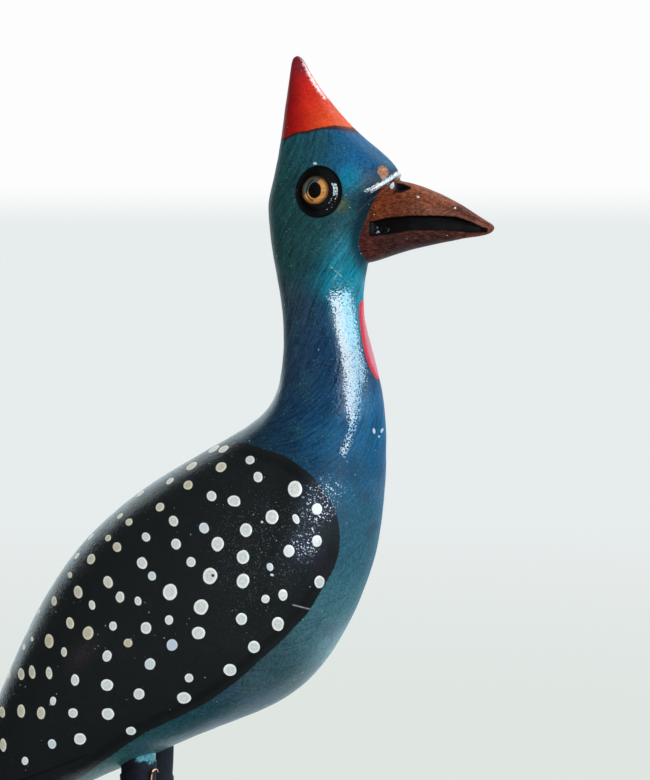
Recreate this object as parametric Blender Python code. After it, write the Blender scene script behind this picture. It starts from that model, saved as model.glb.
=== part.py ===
"""A hand-carved wooden guinea fowl that stands on two wrapped legs.

The bird faces +X, its left is +Y and +Z is up. The origin lies on the ground, below the middle of its length.
All sizes are in metres.
"""

import math

import bmesh
import bpy
import numpy as np
from mathutils import Matrix, Vector
from mathutils.bvhtree import BVHTree

# The carved figure's own sizes
HEIGHT = 0.2423
LENGTH = 0.1514
BODY_WIDTH = 0.0600

# Legs and feet
LEG_DIAMETER = 0.0094
ANKLE_DIAMETER = 0.0066
TOE_DIAMETER = 0.0060
TOE_TIP_DIAMETER = 0.0044
HIP_SPACING = 0.0170
FOOT_SPACING = 0.0330
THIGH_LENGTH = 0.0150
KNEE_SET_BACK = 0.0025
FOOT_SET_FORWARD = 0.0050
FRONT_TOE_LENGTH = 0.0285
SIDE_TOE_LENGTH = 0.0262
BACK_TOE_LENGTH = 0.0150
FOOT_TURN_OUT = math.radians(10)
TOE_SPREAD = math.radians(27)

# Where a leg's two bends lie: the share of the thigh's height above ground, and of the way out to the foot
KNEE_SHARES = (0.68, 0.25)
ANKLE_SHARES = (0.34, 0.65)
# How much of a toe's radius is cut away by the flat sole
TOE_SINK_SHARE = 0.2

# How the legs are let into the belly
SOCKET_DEPTH = 0.0090
FIT_CLEARANCE = 0.0003

# Copper wire that binds the right leg's wrapping
WIRE_DIAMETER = 0.0007
WIRE_TURNS = 2
WIRE_TOP_GAP = 0.0018
WIRE_ANGLE = math.radians(54)
WIRE_HOOK_RADIUS = 0.0009

# Carving on the head
EYE_RING_WIDTH = 0.0125
EYE_RING_HEIGHT = 0.0134
EYE_BOSS_DIAMETER = 0.0090
EYE_GROOVE_DEPTH = 0.0010
EYE_GROOVE_SLOPE = math.radians(62)
MOUTH_DEPTH = 0.0016
NOSTRIL_DEPTH = 0.0013
# How far the upper face of the mouth and nostril falls inwards, as a share of their height
LIP_FALL_SHARE = 0.15

# The free form is drawn on a grid: so many parts make up the length, the height and half the width
LENGTH_PARTS = 570
HEIGHT_PARTS = 932
HALF_WIDTH_PARTS = 115

# Fineness of the faceted surfaces
BODY_SIDES = 40
BODY_RINGS = 60
BEAK_SIDES = 18
BEAK_RINGS = 15
LEG_SIDES = 14
LEG_RINGS = 15
TOE_SIDES = 10
TOE_RINGS = 6
TIP_RINGS = 3
EYE_SEGMENTS = 28
WIRE_SIDES = 6
WIRE_POINTS_A_TURN = 14

# Sections from the tail to the tip of the crest: back x and z, front x and z, half width, in grid parts,
# and how square the section is below the middle, where 2 is an ellipse
BODY_SECTIONS = [
    (-285, 118, -285, 118, 0, 2.0),
    (-272, 155, -250, 127, 25, 2.0),
    (-240, 224, -175, 166, 60, 2.1),
    (-198, 320, -80, 213, 92, 2.4),
    (-137, 428, 20, 260, 112, 2.6),
    (-57, 502, 100, 304, 114, 2.3),
    (6, 541, 149, 381, 98, 2.1),
    (47, 567, 170, 445, 80, 2.0),
    (69, 593, 178, 518, 62, 2.0),
    (77, 630, 174, 603, 46, 2.0),
    (77, 678, 157, 675, 38, 2.0),
    (68, 732, 161, 727, 43, 2.0),
    (63, 782, 174, 778, 47, 2.0),
    (68, 811, 192, 815, 43, 2.0),
    (76, 855, 152, 856, 31, 2.0),
    (82, 900, 114, 900, 16, 2.0),
    (91, 932, 91, 932, 0, 2.0),
]

# The beak's sections from inside the head to its tip, in the same form
BEAK_SECTIONS = [
    (138, 802, 133, 738, 33, 2.0),
    (163, 807, 155, 727, 34, 2.0),
    (190, 809, 178, 732, 32, 2.0),
    (218, 802, 205, 741, 27, 2.0),
    (242, 791, 232, 747, 20, 2.0),
    (261, 780, 256, 752, 13, 2.0),
    (277, 769, 275, 756, 6, 2.0),
    (285, 762, 285, 762, 0, 2.0),
]

# Where the carving lies on the side of the head, in grid parts
EYE_CENTRE = (121, 798)
# The mouth from its corner to the tip: x, upper edge z and lower edge z
MOUTH_LINE = [
    (171, 769, 754),
    (187, 773, 756),
    (208, 775, 760),
    (235, 775, 760),
    (250, 774, 759),
    (264, 769, 758),
    (275, 763, 758),
]
# The nostril from its wide end to its point, in the same form
NOSTRIL_LINE = [
    (192, 806, 798),
    (198, 805, 798),
    (205, 802, 801),
]
# Where the legs meet the belly, as x in grid parts
HIP_X = -64

GRID = Vector((LENGTH / LENGTH_PARTS, BODY_WIDTH / 2 / HALF_WIDTH_PARTS, HEIGHT / HEIGHT_PARTS))
MATERIALS = {
    "painted_wood": ((0.012, 0.105, 0.190), 0.22, 0.0),
    "leg_wrapping": ((0.012, 0.012, 0.020), 0.62, 0.0),
    "copper": ((0.72, 0.34, 0.17), 0.35, 1.0),
}


def clear_scene():
    for old in list(bpy.data.objects):
        bpy.data.objects.remove(old, do_unlink=True)


def material(name):
    """The named finish, made on first use."""
    found = bpy.data.materials.get(name)
    if found:
        return found
    made = bpy.data.materials.new(name)
    made.use_nodes = True
    colour, roughness, metallic = MATERIALS[name]
    shader = made.node_tree.nodes["Principled BSDF"]
    shader.inputs["Base Color"].default_value = (*colour, 1)
    shader.inputs["Roughness"].default_value = roughness
    shader.inputs["Metallic"].default_value = metallic
    return made


def natural_spline(knots, positions):
    """Rows of numbers joined by a natural cubic spline and read at positions, where row 0 is at 0."""
    knots = np.asarray(knots, float)
    last = len(knots) - 1
    matrix = np.eye(last + 1)
    pull = np.zeros_like(knots)
    for i in range(1, last):
        matrix[i, i - 1 : i + 2] = 1, 4, 1
        pull[i] = 6 * (knots[i - 1] - 2 * knots[i] + knots[i + 1])
    bend = np.linalg.solve(matrix, pull)
    before = np.minimum(positions.astype(int), last - 1)
    b = (positions - before)[:, None]
    a = 1 - b
    straight = a * knots[before] + b * knots[before + 1]
    return straight + ((a**3 - a) * bend[before] + (b**3 - b) * bend[before + 1]) / 6


def section_ring(section, sides):
    """One closed section of the bird, from its back round its left side, front and right side."""
    back_x, back_z, front_x, front_z, half_width, squareness = section
    middle = np.array([back_x + front_x, 0, back_z + front_z]) / 2
    towards_back = np.array([back_x - front_x, 0, back_z - front_z]) / 2
    towards_side = np.array([0, half_width, 0])
    ring = []
    for angle in np.linspace(0, 2 * math.pi, sides, endpoint=False):
        c, s = math.cos(angle), math.sin(angle)
        power = 2 / squareness if c < 0 else 1
        point = middle + math.copysign(abs(c) ** power, c) * towards_back
        point = point + math.copysign(abs(s) ** power, s) * towards_side
        ring.append(Vector(point) * GRID)
    return ring


def mesh_object(name, bm, finish=None):
    """An object from a bmesh, with its faces turned outwards and shaded smooth."""
    bmesh.ops.recalc_face_normals(bm, faces=bm.faces)
    mesh = bpy.data.meshes.new(name)
    bm.to_mesh(mesh)
    bm.free()
    mesh.shade_smooth()
    mesh.set_sharp_from_angle(angle=math.radians(40))
    made = bpy.data.objects.new(name, mesh)
    bpy.context.scene.collection.objects.link(made)
    if finish:
        mesh.materials.append(material(finish))
    return made


def skin(rings, tips=(None, None)):
    """A closed bmesh through rings of equal count, ending in a point at each tip or in a flat face."""
    bm = bmesh.new()
    rows = [[bm.verts.new(point) for point in ring] for ring in rings]
    count = len(rows[0])
    for low, high in zip(rows, rows[1:]):
        for i in range(count):
            j = (i + 1) % count
            bm.faces.new((low[i], low[j], high[j], high[i]))
    for tip, row in zip(tips, (rows[0], rows[-1])):
        if tip is None:
            bm.faces.new(row)
            continue
        pole = bm.verts.new(tip)
        for i in range(count):
            bm.faces.new((pole, row[i], row[(i + 1) % count]))
    return bm


def lofted(sections, ring_count, sides, start_is_tip):
    """A smooth form through sections, whose last section is a point, and the first too if start_is_tip."""
    last = len(sections) - 1
    ring_positions = np.linspace(0, last, ring_count + 2)[1:-1]
    if not start_is_tip:
        ring_positions = np.insert(ring_positions, 0, 0.0)
    rings = [section_ring(row, sides) for row in natural_spline(sections, ring_positions)]
    end = Vector((sections[-1][0], 0, sections[-1][1])) * GRID
    start = Vector((sections[0][0], 0, sections[0][1])) * GRID if start_is_tip else None
    return skin(rings, (start, end))


def combine(target, tool, operation):
    """Joins tool to target or cuts it away, and keeps tool as a hidden guide."""
    modifier = target.modifiers.new(operation.title() + "_" + tool.name, "BOOLEAN")
    modifier.operation = operation
    modifier.object = tool
    tool.hide_render = True
    tool.display_type = "WIRE"


def surface_hit(tree, start, direction):
    """Where a ray first meets a form's surface."""
    hit = tree.ray_cast(Vector(start), Vector(direction))[0]
    if hit is None:
        raise ValueError(f"nothing lies along {direction} from {start}")
    return hit


def cheek_point(tree, side, x, z):
    """The point on the surface at x and z, seen from the bird's right (-1) or left (1) side."""
    return surface_hit(tree, (x, side * LENGTH, z), (0, -side, 0))


def tube_rings(path, radii, sides):
    """Round sections square to a path, which don't twist from one to the next."""
    path = [Vector(p) for p in path]
    rings = []
    across = None
    for i, centre in enumerate(path):
        along = (path[min(i + 1, len(path) - 1)] - path[max(i - 1, 0)]).normalized()
        if across is None:
            across = along.orthogonal().normalized()
        across = (across - along * across.dot(along)).normalized()
        other = along.cross(across)
        ring = []
        for k in range(sides):
            angle = 2 * math.pi * k / sides
            ring.append(centre + (math.cos(angle) * across + math.sin(angle) * other) * radii[i])
        rings.append(ring)
    return rings


def round_tip(path, radii):
    """The path and radii with a half ball added at the end, and the point that closes it."""
    path = [Vector(p) for p in path]
    along = (path[-1] - path[-2]).normalized()
    end, radius = path[-1], radii[-1]
    for k in range(1, TIP_RINGS + 1):
        angle = math.pi / 2 * k / (TIP_RINGS + 1)
        path.append(end + along * radius * math.sin(angle))
        radii = [*radii, radius * math.cos(angle)]
    return path, radii, end + along * radius


def eye_cutter(tree, side):
    """A ring that follows the cheek and cuts a flat-bottomed groove round the eye."""
    x, z = EYE_CENTRE[0] * GRID.x, EYE_CENTRE[1] * GRID.z
    lean = EYE_GROOVE_DEPTH / math.tan(EYE_GROOVE_SLOPE)
    bm = bmesh.new()
    rows = []
    for k in range(EYE_SEGMENTS):
        angle = 2 * math.pi * k / EYE_SEGMENTS
        outwards = Vector((math.cos(angle), math.sin(angle)))
        inner = outwards * EYE_BOSS_DIAMETER / 2
        outer = Vector((outwards.x * EYE_RING_WIDTH, outwards.y * EYE_RING_HEIGHT)) / 2
        profile = [
            (outer + outwards * lean, EYE_GROOVE_DEPTH),
            (outer - outwards * lean, -EYE_GROOVE_DEPTH),
            (inner + outwards * lean, -EYE_GROOVE_DEPTH),
            (inner - outwards * lean, EYE_GROOVE_DEPTH),
        ]
        row = []
        for offset, lift in profile:
            point = cheek_point(tree, side, x + offset.x, z + offset.y)
            row.append(bm.verts.new(point + Vector((0, side * lift, 0))))
        rows.append(row)
    for k in range(EYE_SEGMENTS):
        row, after = rows[k], rows[(k + 1) % EYE_SEGMENTS]
        for i in range(len(row)):
            j = (i + 1) % len(row)
            bm.faces.new((row[i], row[j], after[j], after[i]))
    return mesh_object(f"eye_cutter_{side}", bm)


def groove_cutter(name, tree, side, line, depth):
    """A wedge along the beak, with an almost level upper face and a lower face that slopes outwards."""
    widest = max(upper - lower for _, upper, lower in line)
    rings = []
    for x, upper, lower in line:
        lip = cheek_point(tree, side, x * GRID.x, (upper + lower) / 2 * GRID.z).y
        outside = lip + side * depth
        inside = lip - side * depth * (upper - lower) / widest
        root = upper - (upper - lower) * LIP_FALL_SHARE
        corners = [(outside, upper), (inside, root), (outside, lower)]
        rings.append([Vector((x * GRID.x, y, z * GRID.z)) for y, z in corners])
    return mesh_object(f"{name}_cutter_{side}", skin(rings))


def socket_cutter(side, hip_point):
    """An upright bar that bores the socket for one leg."""
    radius = (LEG_DIAMETER / 2 + FIT_CLEARANCE) / math.cos(math.pi / LEG_SIDES)
    top = hip_point.z + SOCKET_DEPTH
    bm = bmesh.new()
    shape = {"cap_ends": True, "segments": 2 * LEG_SIDES, "radius1": radius, "radius2": radius, "depth": top}
    bmesh.ops.create_cone(bm, **shape)
    bmesh.ops.translate(bm, verts=bm.verts, vec=(hip_point.x, hip_point.y, top / 2))
    return mesh_object(f"socket_cutter_{side}", bm)


def hip(tree, side):
    """The point where a leg's middle meets the belly."""
    return surface_hit(tree, (HIP_X * GRID.x, side * HIP_SPACING / 2, 0), (0, 0, 1))


def make_bird(body, hips):
    """The carved body, with its beak joined on, its face cut in and a socket for each leg."""
    body_tree = BVHTree.FromBMesh(body)
    beak = lofted(BEAK_SECTIONS, BEAK_RINGS, BEAK_SIDES, start_is_tip=False)
    beak_tree = BVHTree.FromBMesh(beak)
    bird = mesh_object("carved_bird", body, "painted_wood")
    combine(bird, mesh_object("beak_form", beak), "UNION")
    for side, hip_point in hips.items():
        combine(bird, socket_cutter(side, hip_point), "DIFFERENCE")
        combine(bird, eye_cutter(body_tree, side), "DIFFERENCE")
        combine(bird, groove_cutter("mouth", beak_tree, side, MOUTH_LINE, MOUTH_DEPTH), "DIFFERENCE")
        combine(bird, groove_cutter("nostril", beak_tree, side, NOSTRIL_LINE, NOSTRIL_DEPTH), "DIFFERENCE")


def shank_path(side, hip_point):
    """The leg's middle line from its top in the socket to the foot."""
    top = hip_point.z + SOCKET_DEPTH - FIT_CLEARANCE
    thigh_end = hip_point.z - THIGH_LENGTH
    hip_y, foot_y = HIP_SPACING / 2, FOOT_SPACING / 2
    foot_z = TOE_DIAMETER / 2
    (knee_height, knee_out), (ankle_height, ankle_out) = KNEE_SHARES, ANKLE_SHARES
    knots = [
        (hip_point.x, hip_y, thigh_end),
        (hip_point.x - KNEE_SET_BACK, hip_y + (foot_y - hip_y) * knee_out, thigh_end * knee_height),
        (hip_point.x, hip_y + (foot_y - hip_y) * ankle_out, thigh_end * ankle_height),
        (hip_point.x + FOOT_SET_FORWARD, foot_y, foot_z),
    ]
    bend = natural_spline(knots, np.linspace(0, len(knots) - 1, LEG_RINGS - 1))
    below_ground = (knots[-1][0], foot_y, -foot_z)
    path = [(hip_point.x, hip_y, top), *bend, below_ground]
    return [Vector((x, side * y, z)) for x, y, z in path]


def toe_form(name, foot, heading, length):
    """One toe that lies on the ground, thicker at its root."""
    shares = np.linspace(0, 1, TOE_RINGS)
    radii = [(TOE_DIAMETER + (TOE_TIP_DIAMETER - TOE_DIAMETER) * share) / 2 for share in shares]
    reach = length - TOE_TIP_DIAMETER / 2
    direction = Vector((math.cos(heading), math.sin(heading), 0))
    path = []
    for share, radius in zip(shares, radii):
        height = radius * (1 - TOE_SINK_SHARE)
        path.append(Vector((foot.x, foot.y, height)) + direction * reach * share)
    path[0] -= direction * ANKLE_DIAMETER / 4
    path, radii, tip = round_tip(path, radii)
    return mesh_object(name, skin(tube_rings(path, radii, TOE_SIDES), (None, tip)))


def make_leg(name, side, hip_point):
    """A wrapped leg with three toes in front and one behind, cut flat where it stands."""
    path = shank_path(side, hip_point)
    radii = np.interp(
        [p.z for p in path],
        [0, hip_point.z - THIGH_LENGTH],
        [ANKLE_DIAMETER / 2, LEG_DIAMETER / 2],
    )
    leg = mesh_object(name, skin(tube_rings(path, radii, LEG_SIDES)), "leg_wrapping")
    foot = path[-1]
    turn = side * FOOT_TURN_OUT
    toes = [
        ("inner_toe", turn - side * TOE_SPREAD, SIDE_TOE_LENGTH),
        ("middle_toe", turn, FRONT_TOE_LENGTH),
        ("outer_toe", turn + side * TOE_SPREAD, SIDE_TOE_LENGTH),
        ("back_toe", turn + math.pi, BACK_TOE_LENGTH),
    ]
    for toe_name, heading, length in toes:
        combine(leg, toe_form(f"{toe_name}_form_{side}", foot, heading, length), "UNION")
    bm = bmesh.new()
    bmesh.ops.create_cube(bm, size=2 * LENGTH)
    bmesh.ops.translate(bm, verts=bm.verts, vec=(0, 0, -LENGTH))
    combine(leg, mesh_object(f"ground_cutter_{side}", bm), "DIFFERENCE")


def make_wire(name, side, hip_point):
    """A copper wire wound round the leg, whose end runs up the outer front and ends in a small hook."""
    radius = LEG_DIAMETER / 2 + FIT_CLEARANCE + WIRE_DIAMETER / 2
    rise = WIRE_DIAMETER + FIT_CLEARANCE
    winding_bottom = hip_point.z - THIGH_LENGTH + WIRE_DIAMETER
    tail_angle = side * (math.pi / 2 - WIRE_ANGLE)
    steps = WIRE_TURNS * WIRE_POINTS_A_TURN
    path = []
    for k in range(steps + 1):
        angle = tail_angle + side * 2 * math.pi * (k - steps) / WIRE_POINTS_A_TURN
        height = winding_bottom + rise * k / WIRE_POINTS_A_TURN
        path.append(Vector((radius * math.cos(angle), radius * math.sin(angle), height)))
    outwards = Vector((math.cos(tail_angle), math.sin(tail_angle), 0))
    forwards = Vector((side * math.sin(tail_angle), -side * math.cos(tail_angle), 0))
    foot_of_tail = path[-1]
    tail_length = hip_point.z - WIRE_TOP_GAP - WIRE_HOOK_RADIUS - foot_of_tail.z
    for share in (0.15, 0.4, 0.7, 1.0):
        path.append(foot_of_tail + Vector((0, 0, tail_length * share)))
    hook_middle = path[-1] + forwards * WIRE_HOOK_RADIUS
    for angle in np.radians([135, 90, 45, 0]):
        turn = forwards * math.cos(angle) + Vector((0, 0, math.sin(angle)))
        path.append(hook_middle + turn * WIRE_HOOK_RADIUS + outwards * FIT_CLEARANCE)
    path = [p + Vector((hip_point.x, hip_point.y, 0)) for p in path]
    rings = tube_rings(path, [WIRE_DIAMETER / 2] * len(path), WIRE_SIDES)
    mesh_object(name, skin(rings), "copper")


def main():
    clear_scene()
    body = lofted(BODY_SECTIONS, BODY_RINGS, BODY_SIDES, start_is_tip=True)
    tree = BVHTree.FromBMesh(body)
    hips = {side: hip(tree, side) for side in (-1, 1)}
    make_bird(body, hips)
    make_leg("left_leg", 1, hips[1])
    make_leg("right_leg", -1, hips[-1])
    make_wire("right_leg_wire", -1, hips[-1])


main()
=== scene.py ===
"""Looks of the carved guinea fowl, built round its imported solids.

The bird faces +X, its left is +Y and +Z is up. Lengths are in metres unless a name says parts, pixels or mm.
"""

import math

import bpy
import numpy as np
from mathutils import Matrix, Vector
from mathutils.bvhtree import BVHTree
from mathutils.kdtree import KDTree


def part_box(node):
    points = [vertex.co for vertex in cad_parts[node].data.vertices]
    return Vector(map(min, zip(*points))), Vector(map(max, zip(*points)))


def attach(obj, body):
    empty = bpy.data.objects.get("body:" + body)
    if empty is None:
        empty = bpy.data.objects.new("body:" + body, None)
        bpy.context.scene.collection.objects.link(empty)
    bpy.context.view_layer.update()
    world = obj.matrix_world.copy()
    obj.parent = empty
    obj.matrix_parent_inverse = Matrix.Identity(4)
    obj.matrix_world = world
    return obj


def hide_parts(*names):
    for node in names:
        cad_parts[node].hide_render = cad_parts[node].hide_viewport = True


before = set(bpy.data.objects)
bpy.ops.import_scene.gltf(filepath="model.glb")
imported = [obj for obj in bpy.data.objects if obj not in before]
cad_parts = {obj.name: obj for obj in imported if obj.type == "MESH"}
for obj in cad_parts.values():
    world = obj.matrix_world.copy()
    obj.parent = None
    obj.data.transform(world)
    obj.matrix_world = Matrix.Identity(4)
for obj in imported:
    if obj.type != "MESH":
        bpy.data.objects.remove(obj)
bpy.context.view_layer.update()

MM = 0.001

# The photograph's frame and the camera that took it
PHOTO_WIDTH, PHOTO_HEIGHT = 650, 780
FOCAL_PIXELS = 2692.0
CAMERA_TURN = math.radians(12)
CAMERA_RISE = math.radians(4.5)
CAMERA_DISTANCE = 0.70
SENSOR_HEIGHT = 36.0

# The free form's sections, as in the solids: back x and z, front x and z, half width, squareness below the middle
LENGTH_PARTS = 570
HEIGHT_PARTS = 932
BODY_SECTIONS = [
    (-285, 118, -285, 118, 0, 2.0),
    (-272, 155, -250, 127, 25, 2.0),
    (-240, 224, -175, 166, 60, 2.1),
    (-198, 320, -80, 213, 92, 2.4),
    (-137, 428, 20, 260, 112, 2.6),
    (-57, 502, 100, 304, 114, 2.3),
    (6, 541, 149, 381, 98, 2.1),
    (47, 567, 170, 445, 80, 2.0),
    (69, 593, 178, 518, 62, 2.0),
    (77, 630, 174, 603, 46, 2.0),
    (77, 678, 157, 675, 38, 2.0),
    (68, 732, 161, 727, 43, 2.0),
    (63, 782, 174, 778, 47, 2.0),
    (68, 811, 192, 815, 43, 2.0),
    (76, 855, 152, 856, 31, 2.0),
    (82, 900, 114, 900, 16, 2.0),
    (91, 932, 91, 932, 0, 2.0),
]
BEAK_SECTIONS = [
    (138, 802, 133, 738, 33, 2.0),
    (163, 807, 155, 727, 34, 2.0),
    (190, 809, 178, 732, 32, 2.0),
    (218, 802, 205, 741, 27, 2.0),
    (242, 791, 232, 747, 20, 2.0),
    (261, 780, 256, 752, 13, 2.0),
    (277, 769, 275, 756, 6, 2.0),
    (285, 762, 285, 762, 0, 2.0),
]
MOUTH_LINE = [
    (171, 769, 754),
    (187, 773, 756),
    (208, 775, 760),
    (235, 775, 760),
    (250, 774, 759),
    (264, 769, 758),
    (275, 763, 758),
]
NOSTRIL_LINE = [
    (192, 806, 798),
    (198, 805, 798),
    (205, 802, 801),
]
EYE_CENTRE_PARTS = (121, 798)
HIP_X_PARTS = -64

# Carving on the head, as in the solids
EYE_RING_WIDTH = 0.0125
EYE_RING_HEIGHT = 0.0134
EYE_BOSS_DIAMETER = 0.0090
EYE_GROOVE_DEPTH = 0.0010
MOUTH_DEPTH = 0.0016
NOSTRIL_DEPTH = 0.0013

# Legs, feet and wire, as in the solids
LEG_DIAMETER = 0.0094
ANKLE_DIAMETER = 0.0066
TOE_DIAMETER = 0.0060
TOE_TIP_DIAMETER = 0.0044
HIP_SPACING = 0.0170
FOOT_SPACING = 0.0330
THIGH_LENGTH = 0.0150
KNEE_SET_BACK = 0.0025
FOOT_SET_FORWARD = 0.0050
FRONT_TOE_LENGTH = 0.0285
SIDE_TOE_LENGTH = 0.0262
BACK_TOE_LENGTH = 0.0150
FOOT_TURN_OUT = math.radians(10)
TOE_SPREAD = math.radians(27)
KNEE_SHARES = (0.68, 0.25)
ANKLE_SHARES = (0.34, 0.65)
TOE_SINK_SHARE = 0.2
SOCKET_DEPTH = 0.0090
FIT_CLEARANCE = 0.0003
WIRE_DIAMETER = 0.0007
WIRE_TURNS = 2
WIRE_TOP_GAP = 0.0018
WIRE_ANGLE = math.radians(54)
WIRE_HOOK_RADIUS = 0.0009
# The strips wound round legs and toes: how far a turn leads on, and how thick a strip is
LEG_WRAPPING = (8.6 * MM, 0.42 * MM)
TOE_WRAPPING = (5.4 * MM, 0.30 * MM)
LEG_SIDES, TOE_SIDES, WIRE_SIDES = 72, 48, 14

# Fineness of the fine meshes: spacing of the rings in metres by height in parts, and points round a ring
RING_SPACING = [(118, 0.95 * MM), (480, 0.95 * MM), (560, 0.60 * MM), (690, 0.45 * MM), (730, 0.31 * MM)]
RING_SPACING_END = (932, 0.31 * MM)
BODY_SIDES = 184
BEAK_RINGS = 96
BEAK_SIDES = 132
# Extra rings close to a tip, as shares of the last section, and how blunt the tips are
TIP_SHARES = (0.009, 0.007, 0.005, 0.0035, 0.0022, 0.0012, 0.0005, 0.0001)
CREST_TIP_RADIUS = 0.9 * MM
BEAK_TIP_RADIUS = 0.5 * MM

# Positions read off the photograph, in its pixels
WING_EDGE = [
    (225, 436), (243, 442), (260, 448), (274, 452), (288, 458), (300, 466), (312, 476), (322, 488), (332, 504),
    (338, 520), (340, 540), (338, 556), (332, 572), (320, 592), (308, 612), (292, 630), (276, 646), (260, 660),
    (243, 676), (212, 699), (185, 714), (155, 728), (138, 737), (123, 747.5), (106, 759.5), (93, 769),
    (84, 775.5), (72, 782), (48, 797), (20, 825),
]
WING_FAR_SIDE = [(-60, 850), (-140, 860), (-140, 400), (200, 400)]
CREST_BASE = [
    (270, 143), (284, 139), (296, 133.5), (306, 132), (315, 129.5), (326, 127.5), (336, 126.5), (346, 127.5),
    (357, 129.5), (370, 132),
]
BEAK_EDGE = [
    (412, 168), (400, 174.5), (388, 181.5), (380, 187), (376, 196), (371, 207), (366, 219), (361.5, 230), (359, 241),
    (360, 251), (366, 260), (370, 265), (374, 275),
]
BEAK_FAR_SIDE = [(520, 275), (520, 168)]
# The glossy lip where the skin of the face meets the beak, and the bare wood worn through above it
LIP_LINE = [(366, 193), (374, 189), (382, 184.5), (388, 181), (394, 177.5), (402, 172)]
LIP_HEIGHT, LIP_REACH = 0.40 * MM, 1.7
BARE_WOOD = [
    (377, 172), (379, 167), (383, 165.5), (387, 168), (389, 172), (388, 176), (384, 179.5), (381, 179), (380, 175),
]
# Where the varnish lies thick and mirrors a window: down the neck and along the crest
NECK_SHINE = [
    (318, 293), (325, 290), (338, 289.5), (350, 291), (354, 298), (358, 312), (361, 330), (363, 350), (366, 366),
    (363, 382), (359, 396), (357, 412), (355, 430), (353, 446), (346, 458), (339, 456), (342, 442), (348, 430),
    (348, 418), (346, 400), (344.5, 380), (342, 360), (338, 340), (334, 320), (331, 304), (326, 298),
]
CREST_SHINE = [(300, 60), (305, 63), (313, 73), (322, 87), (330, 100), (324, 99), (313, 86), (305, 74), (300, 66)]
WATTLE_EDGE = [(363, 300), (360, 303), (359, 309), (359.5, 320), (361, 333), (364, 350), (369, 366), (376, 379)]
WATTLE_FAR_SIDE = [(400, 381), (400, 300)]
# Painted dots: u, v, width, height, lean in degrees, tone from 0 cream to 1 bluish white
DOTS = [
    (140, 494, 10, 4.5, -30, 0.2), (120, 516, 8, 4.5, -40, 0.2), (160, 507, 9.5, 10.5, -45, 0.2),
    (129, 522, 8, 10, -45, 0.2), (108, 538, 7, 9.5, -42, 0.1), (117, 547, 9, 12, -35, 0.15),
    (91, 537, 8, 4.5, -40, 0.4), (77, 556, 8, 4, -50, 0.4), (91, 559, 10, 13.5, -22, 0.15),
    (146, 537, 8.5, 10.5, -35, 0.5), (142, 563, 10.5, 12.5, -15, 0.5), (152, 576, 8.5, 9.5, -15, 0.9),
    (70, 575, 5, 10, -25, 0.15), (78, 592, 9, 14, -15, 0.15), (108, 582, 9.5, 13, -18, 0.3),
    (54, 601, 6, 13.5, -15, 0.1), (39, 612, 4, 8, -25, 0.4), (92, 605, 6.5, 10, -12, 0.4),
    (120, 597, 9, 11.5, 0, 0.4), (138, 601, 7, 9.5, -15, 0.6), (70, 623, 8, 12, -12, 0.2),
    (32, 639, 3, 7, -15, 0.4), (49, 641, 9, 15, -5, 0.0), (88, 633, 11, 14, 5, 0.1),
    (113, 626, 8, 9.5, 0, 0.5), (146, 628, 11, 12.5, 0, 0.5), (128, 643, 9, 9, 0, 0.0),
    (24, 647, 4, 9, -12, 0.4), (64, 652, 6, 10, -3, 0.3), (107, 656, 9.5, 12, 12, 0.5),
    (150, 664, 11, 12, 15, 0.9), (9, 675, 5, 12.5, -12, 0.2), (21, 674, 6.5, 13, -6, 0.2),
    (32, 672, 6.5, 14, -6, 0.2), (49, 673, 6.5, 13, -8, 0.3), (75, 680, 8.5, 12, 0, 0.5),
    (107, 685, 13, 12, 20, 0.7), (139, 694, 11.5, 11.5, 10, 0.7), (53, 701, 6.5, 9, 5, 0.5),
    (2, 712, 6, 12.5, -8, 0.1), (21, 711, 8, 14, -3, 0.2), (41, 713, 8.5, 13, 0, 0.2),
    (73, 713, 10, 10, 20, 0.7), (108, 714, 13, 12, 20, 0.6), (131, 731, 10.5, 8.5, 5, 0.8),
    (3, 745, 6.5, 14, -3, 0.2), (80, 739, 12.5, 12, 25, 0.8), (52, 744, 8.5, 10, -15, 0.9),
    (25, 761, 7, 8.5, 0, 0.6), (170, 592, 15, 17, 10, 0.8), (214, 449, 13, 5.5, -30, 0.3),
    (223.5, 449, 11.5, 6, -30, 0.3), (250, 460, 9.5, 9, -20, 0.5), (191.5, 466, 13, 6.5, -32, 0.2),
    (221, 467, 12, 11, -35, 0.2), (258, 477, 9.5, 11, -10, 0.6), (170, 481, 9.5, 6.5, -40, 0.3),
    (188, 485, 10, 12, -40, 0.1), (295, 489, 15, 17, 0, 0.5), (211.5, 496, 10, 11, -25, 0.5),
    (234, 501, 13.5, 11.5, 10, 0.7), (317, 509, 11, 12, 0, 0.8), (272, 517, 13.5, 15, 0, 0.6),
    (296, 519, 6.5, 11, -25, 0.8), (173.5, 521, 9.5, 11.5, -25, 0.4), (204, 528, 10, 11.5, -25, 0.9),
    (246, 530, 12.5, 14.5, 0, 0.6), (176, 544, 10, 11.5, -25, 0.5), (217.6, 544, 13, 15, 8, 0.6),
    (317, 541, 10, 12.5, 0, 0.8), (289, 551, 11.5, 13, 0, 0.7), (243, 557, 13, 14.5, 8, 0.7),
    (191, 562, 9.5, 10.5, -10, 0.7), (270, 567, 7, 8.5, -20, 0.9), (210, 576, 15, 17, 12, 0.7),
    (319.5, 582, 10.5, 13, 0, 0.8), (243, 581, 13, 15.5, 15, 0.7), (283, 595, 9.5, 12, 0, 0.7),
    (265.5, 599, 8.5, 9, 0, 0.7), (201, 607, 15, 16, 10, 0.8), (241.5, 619, 11.5, 12.5, 0, 0.7),
    (169, 620, 8.5, 10, 0, 0.8), (278, 624, 12.5, 14.5, 0, 0.7), (198.5, 633, 14, 13, 10, 0.8),
    (172, 645, 11.5, 12, 15, 1.0), (254, 647, 12.5, 12.5, 10, 0.8), (230, 670, 13.5, 12.5, 10, 0.8),
    (189, 678, 9, 9, 0, 0.8), (184, 698, 14.5, 12, 0, 0.8),
]
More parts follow.
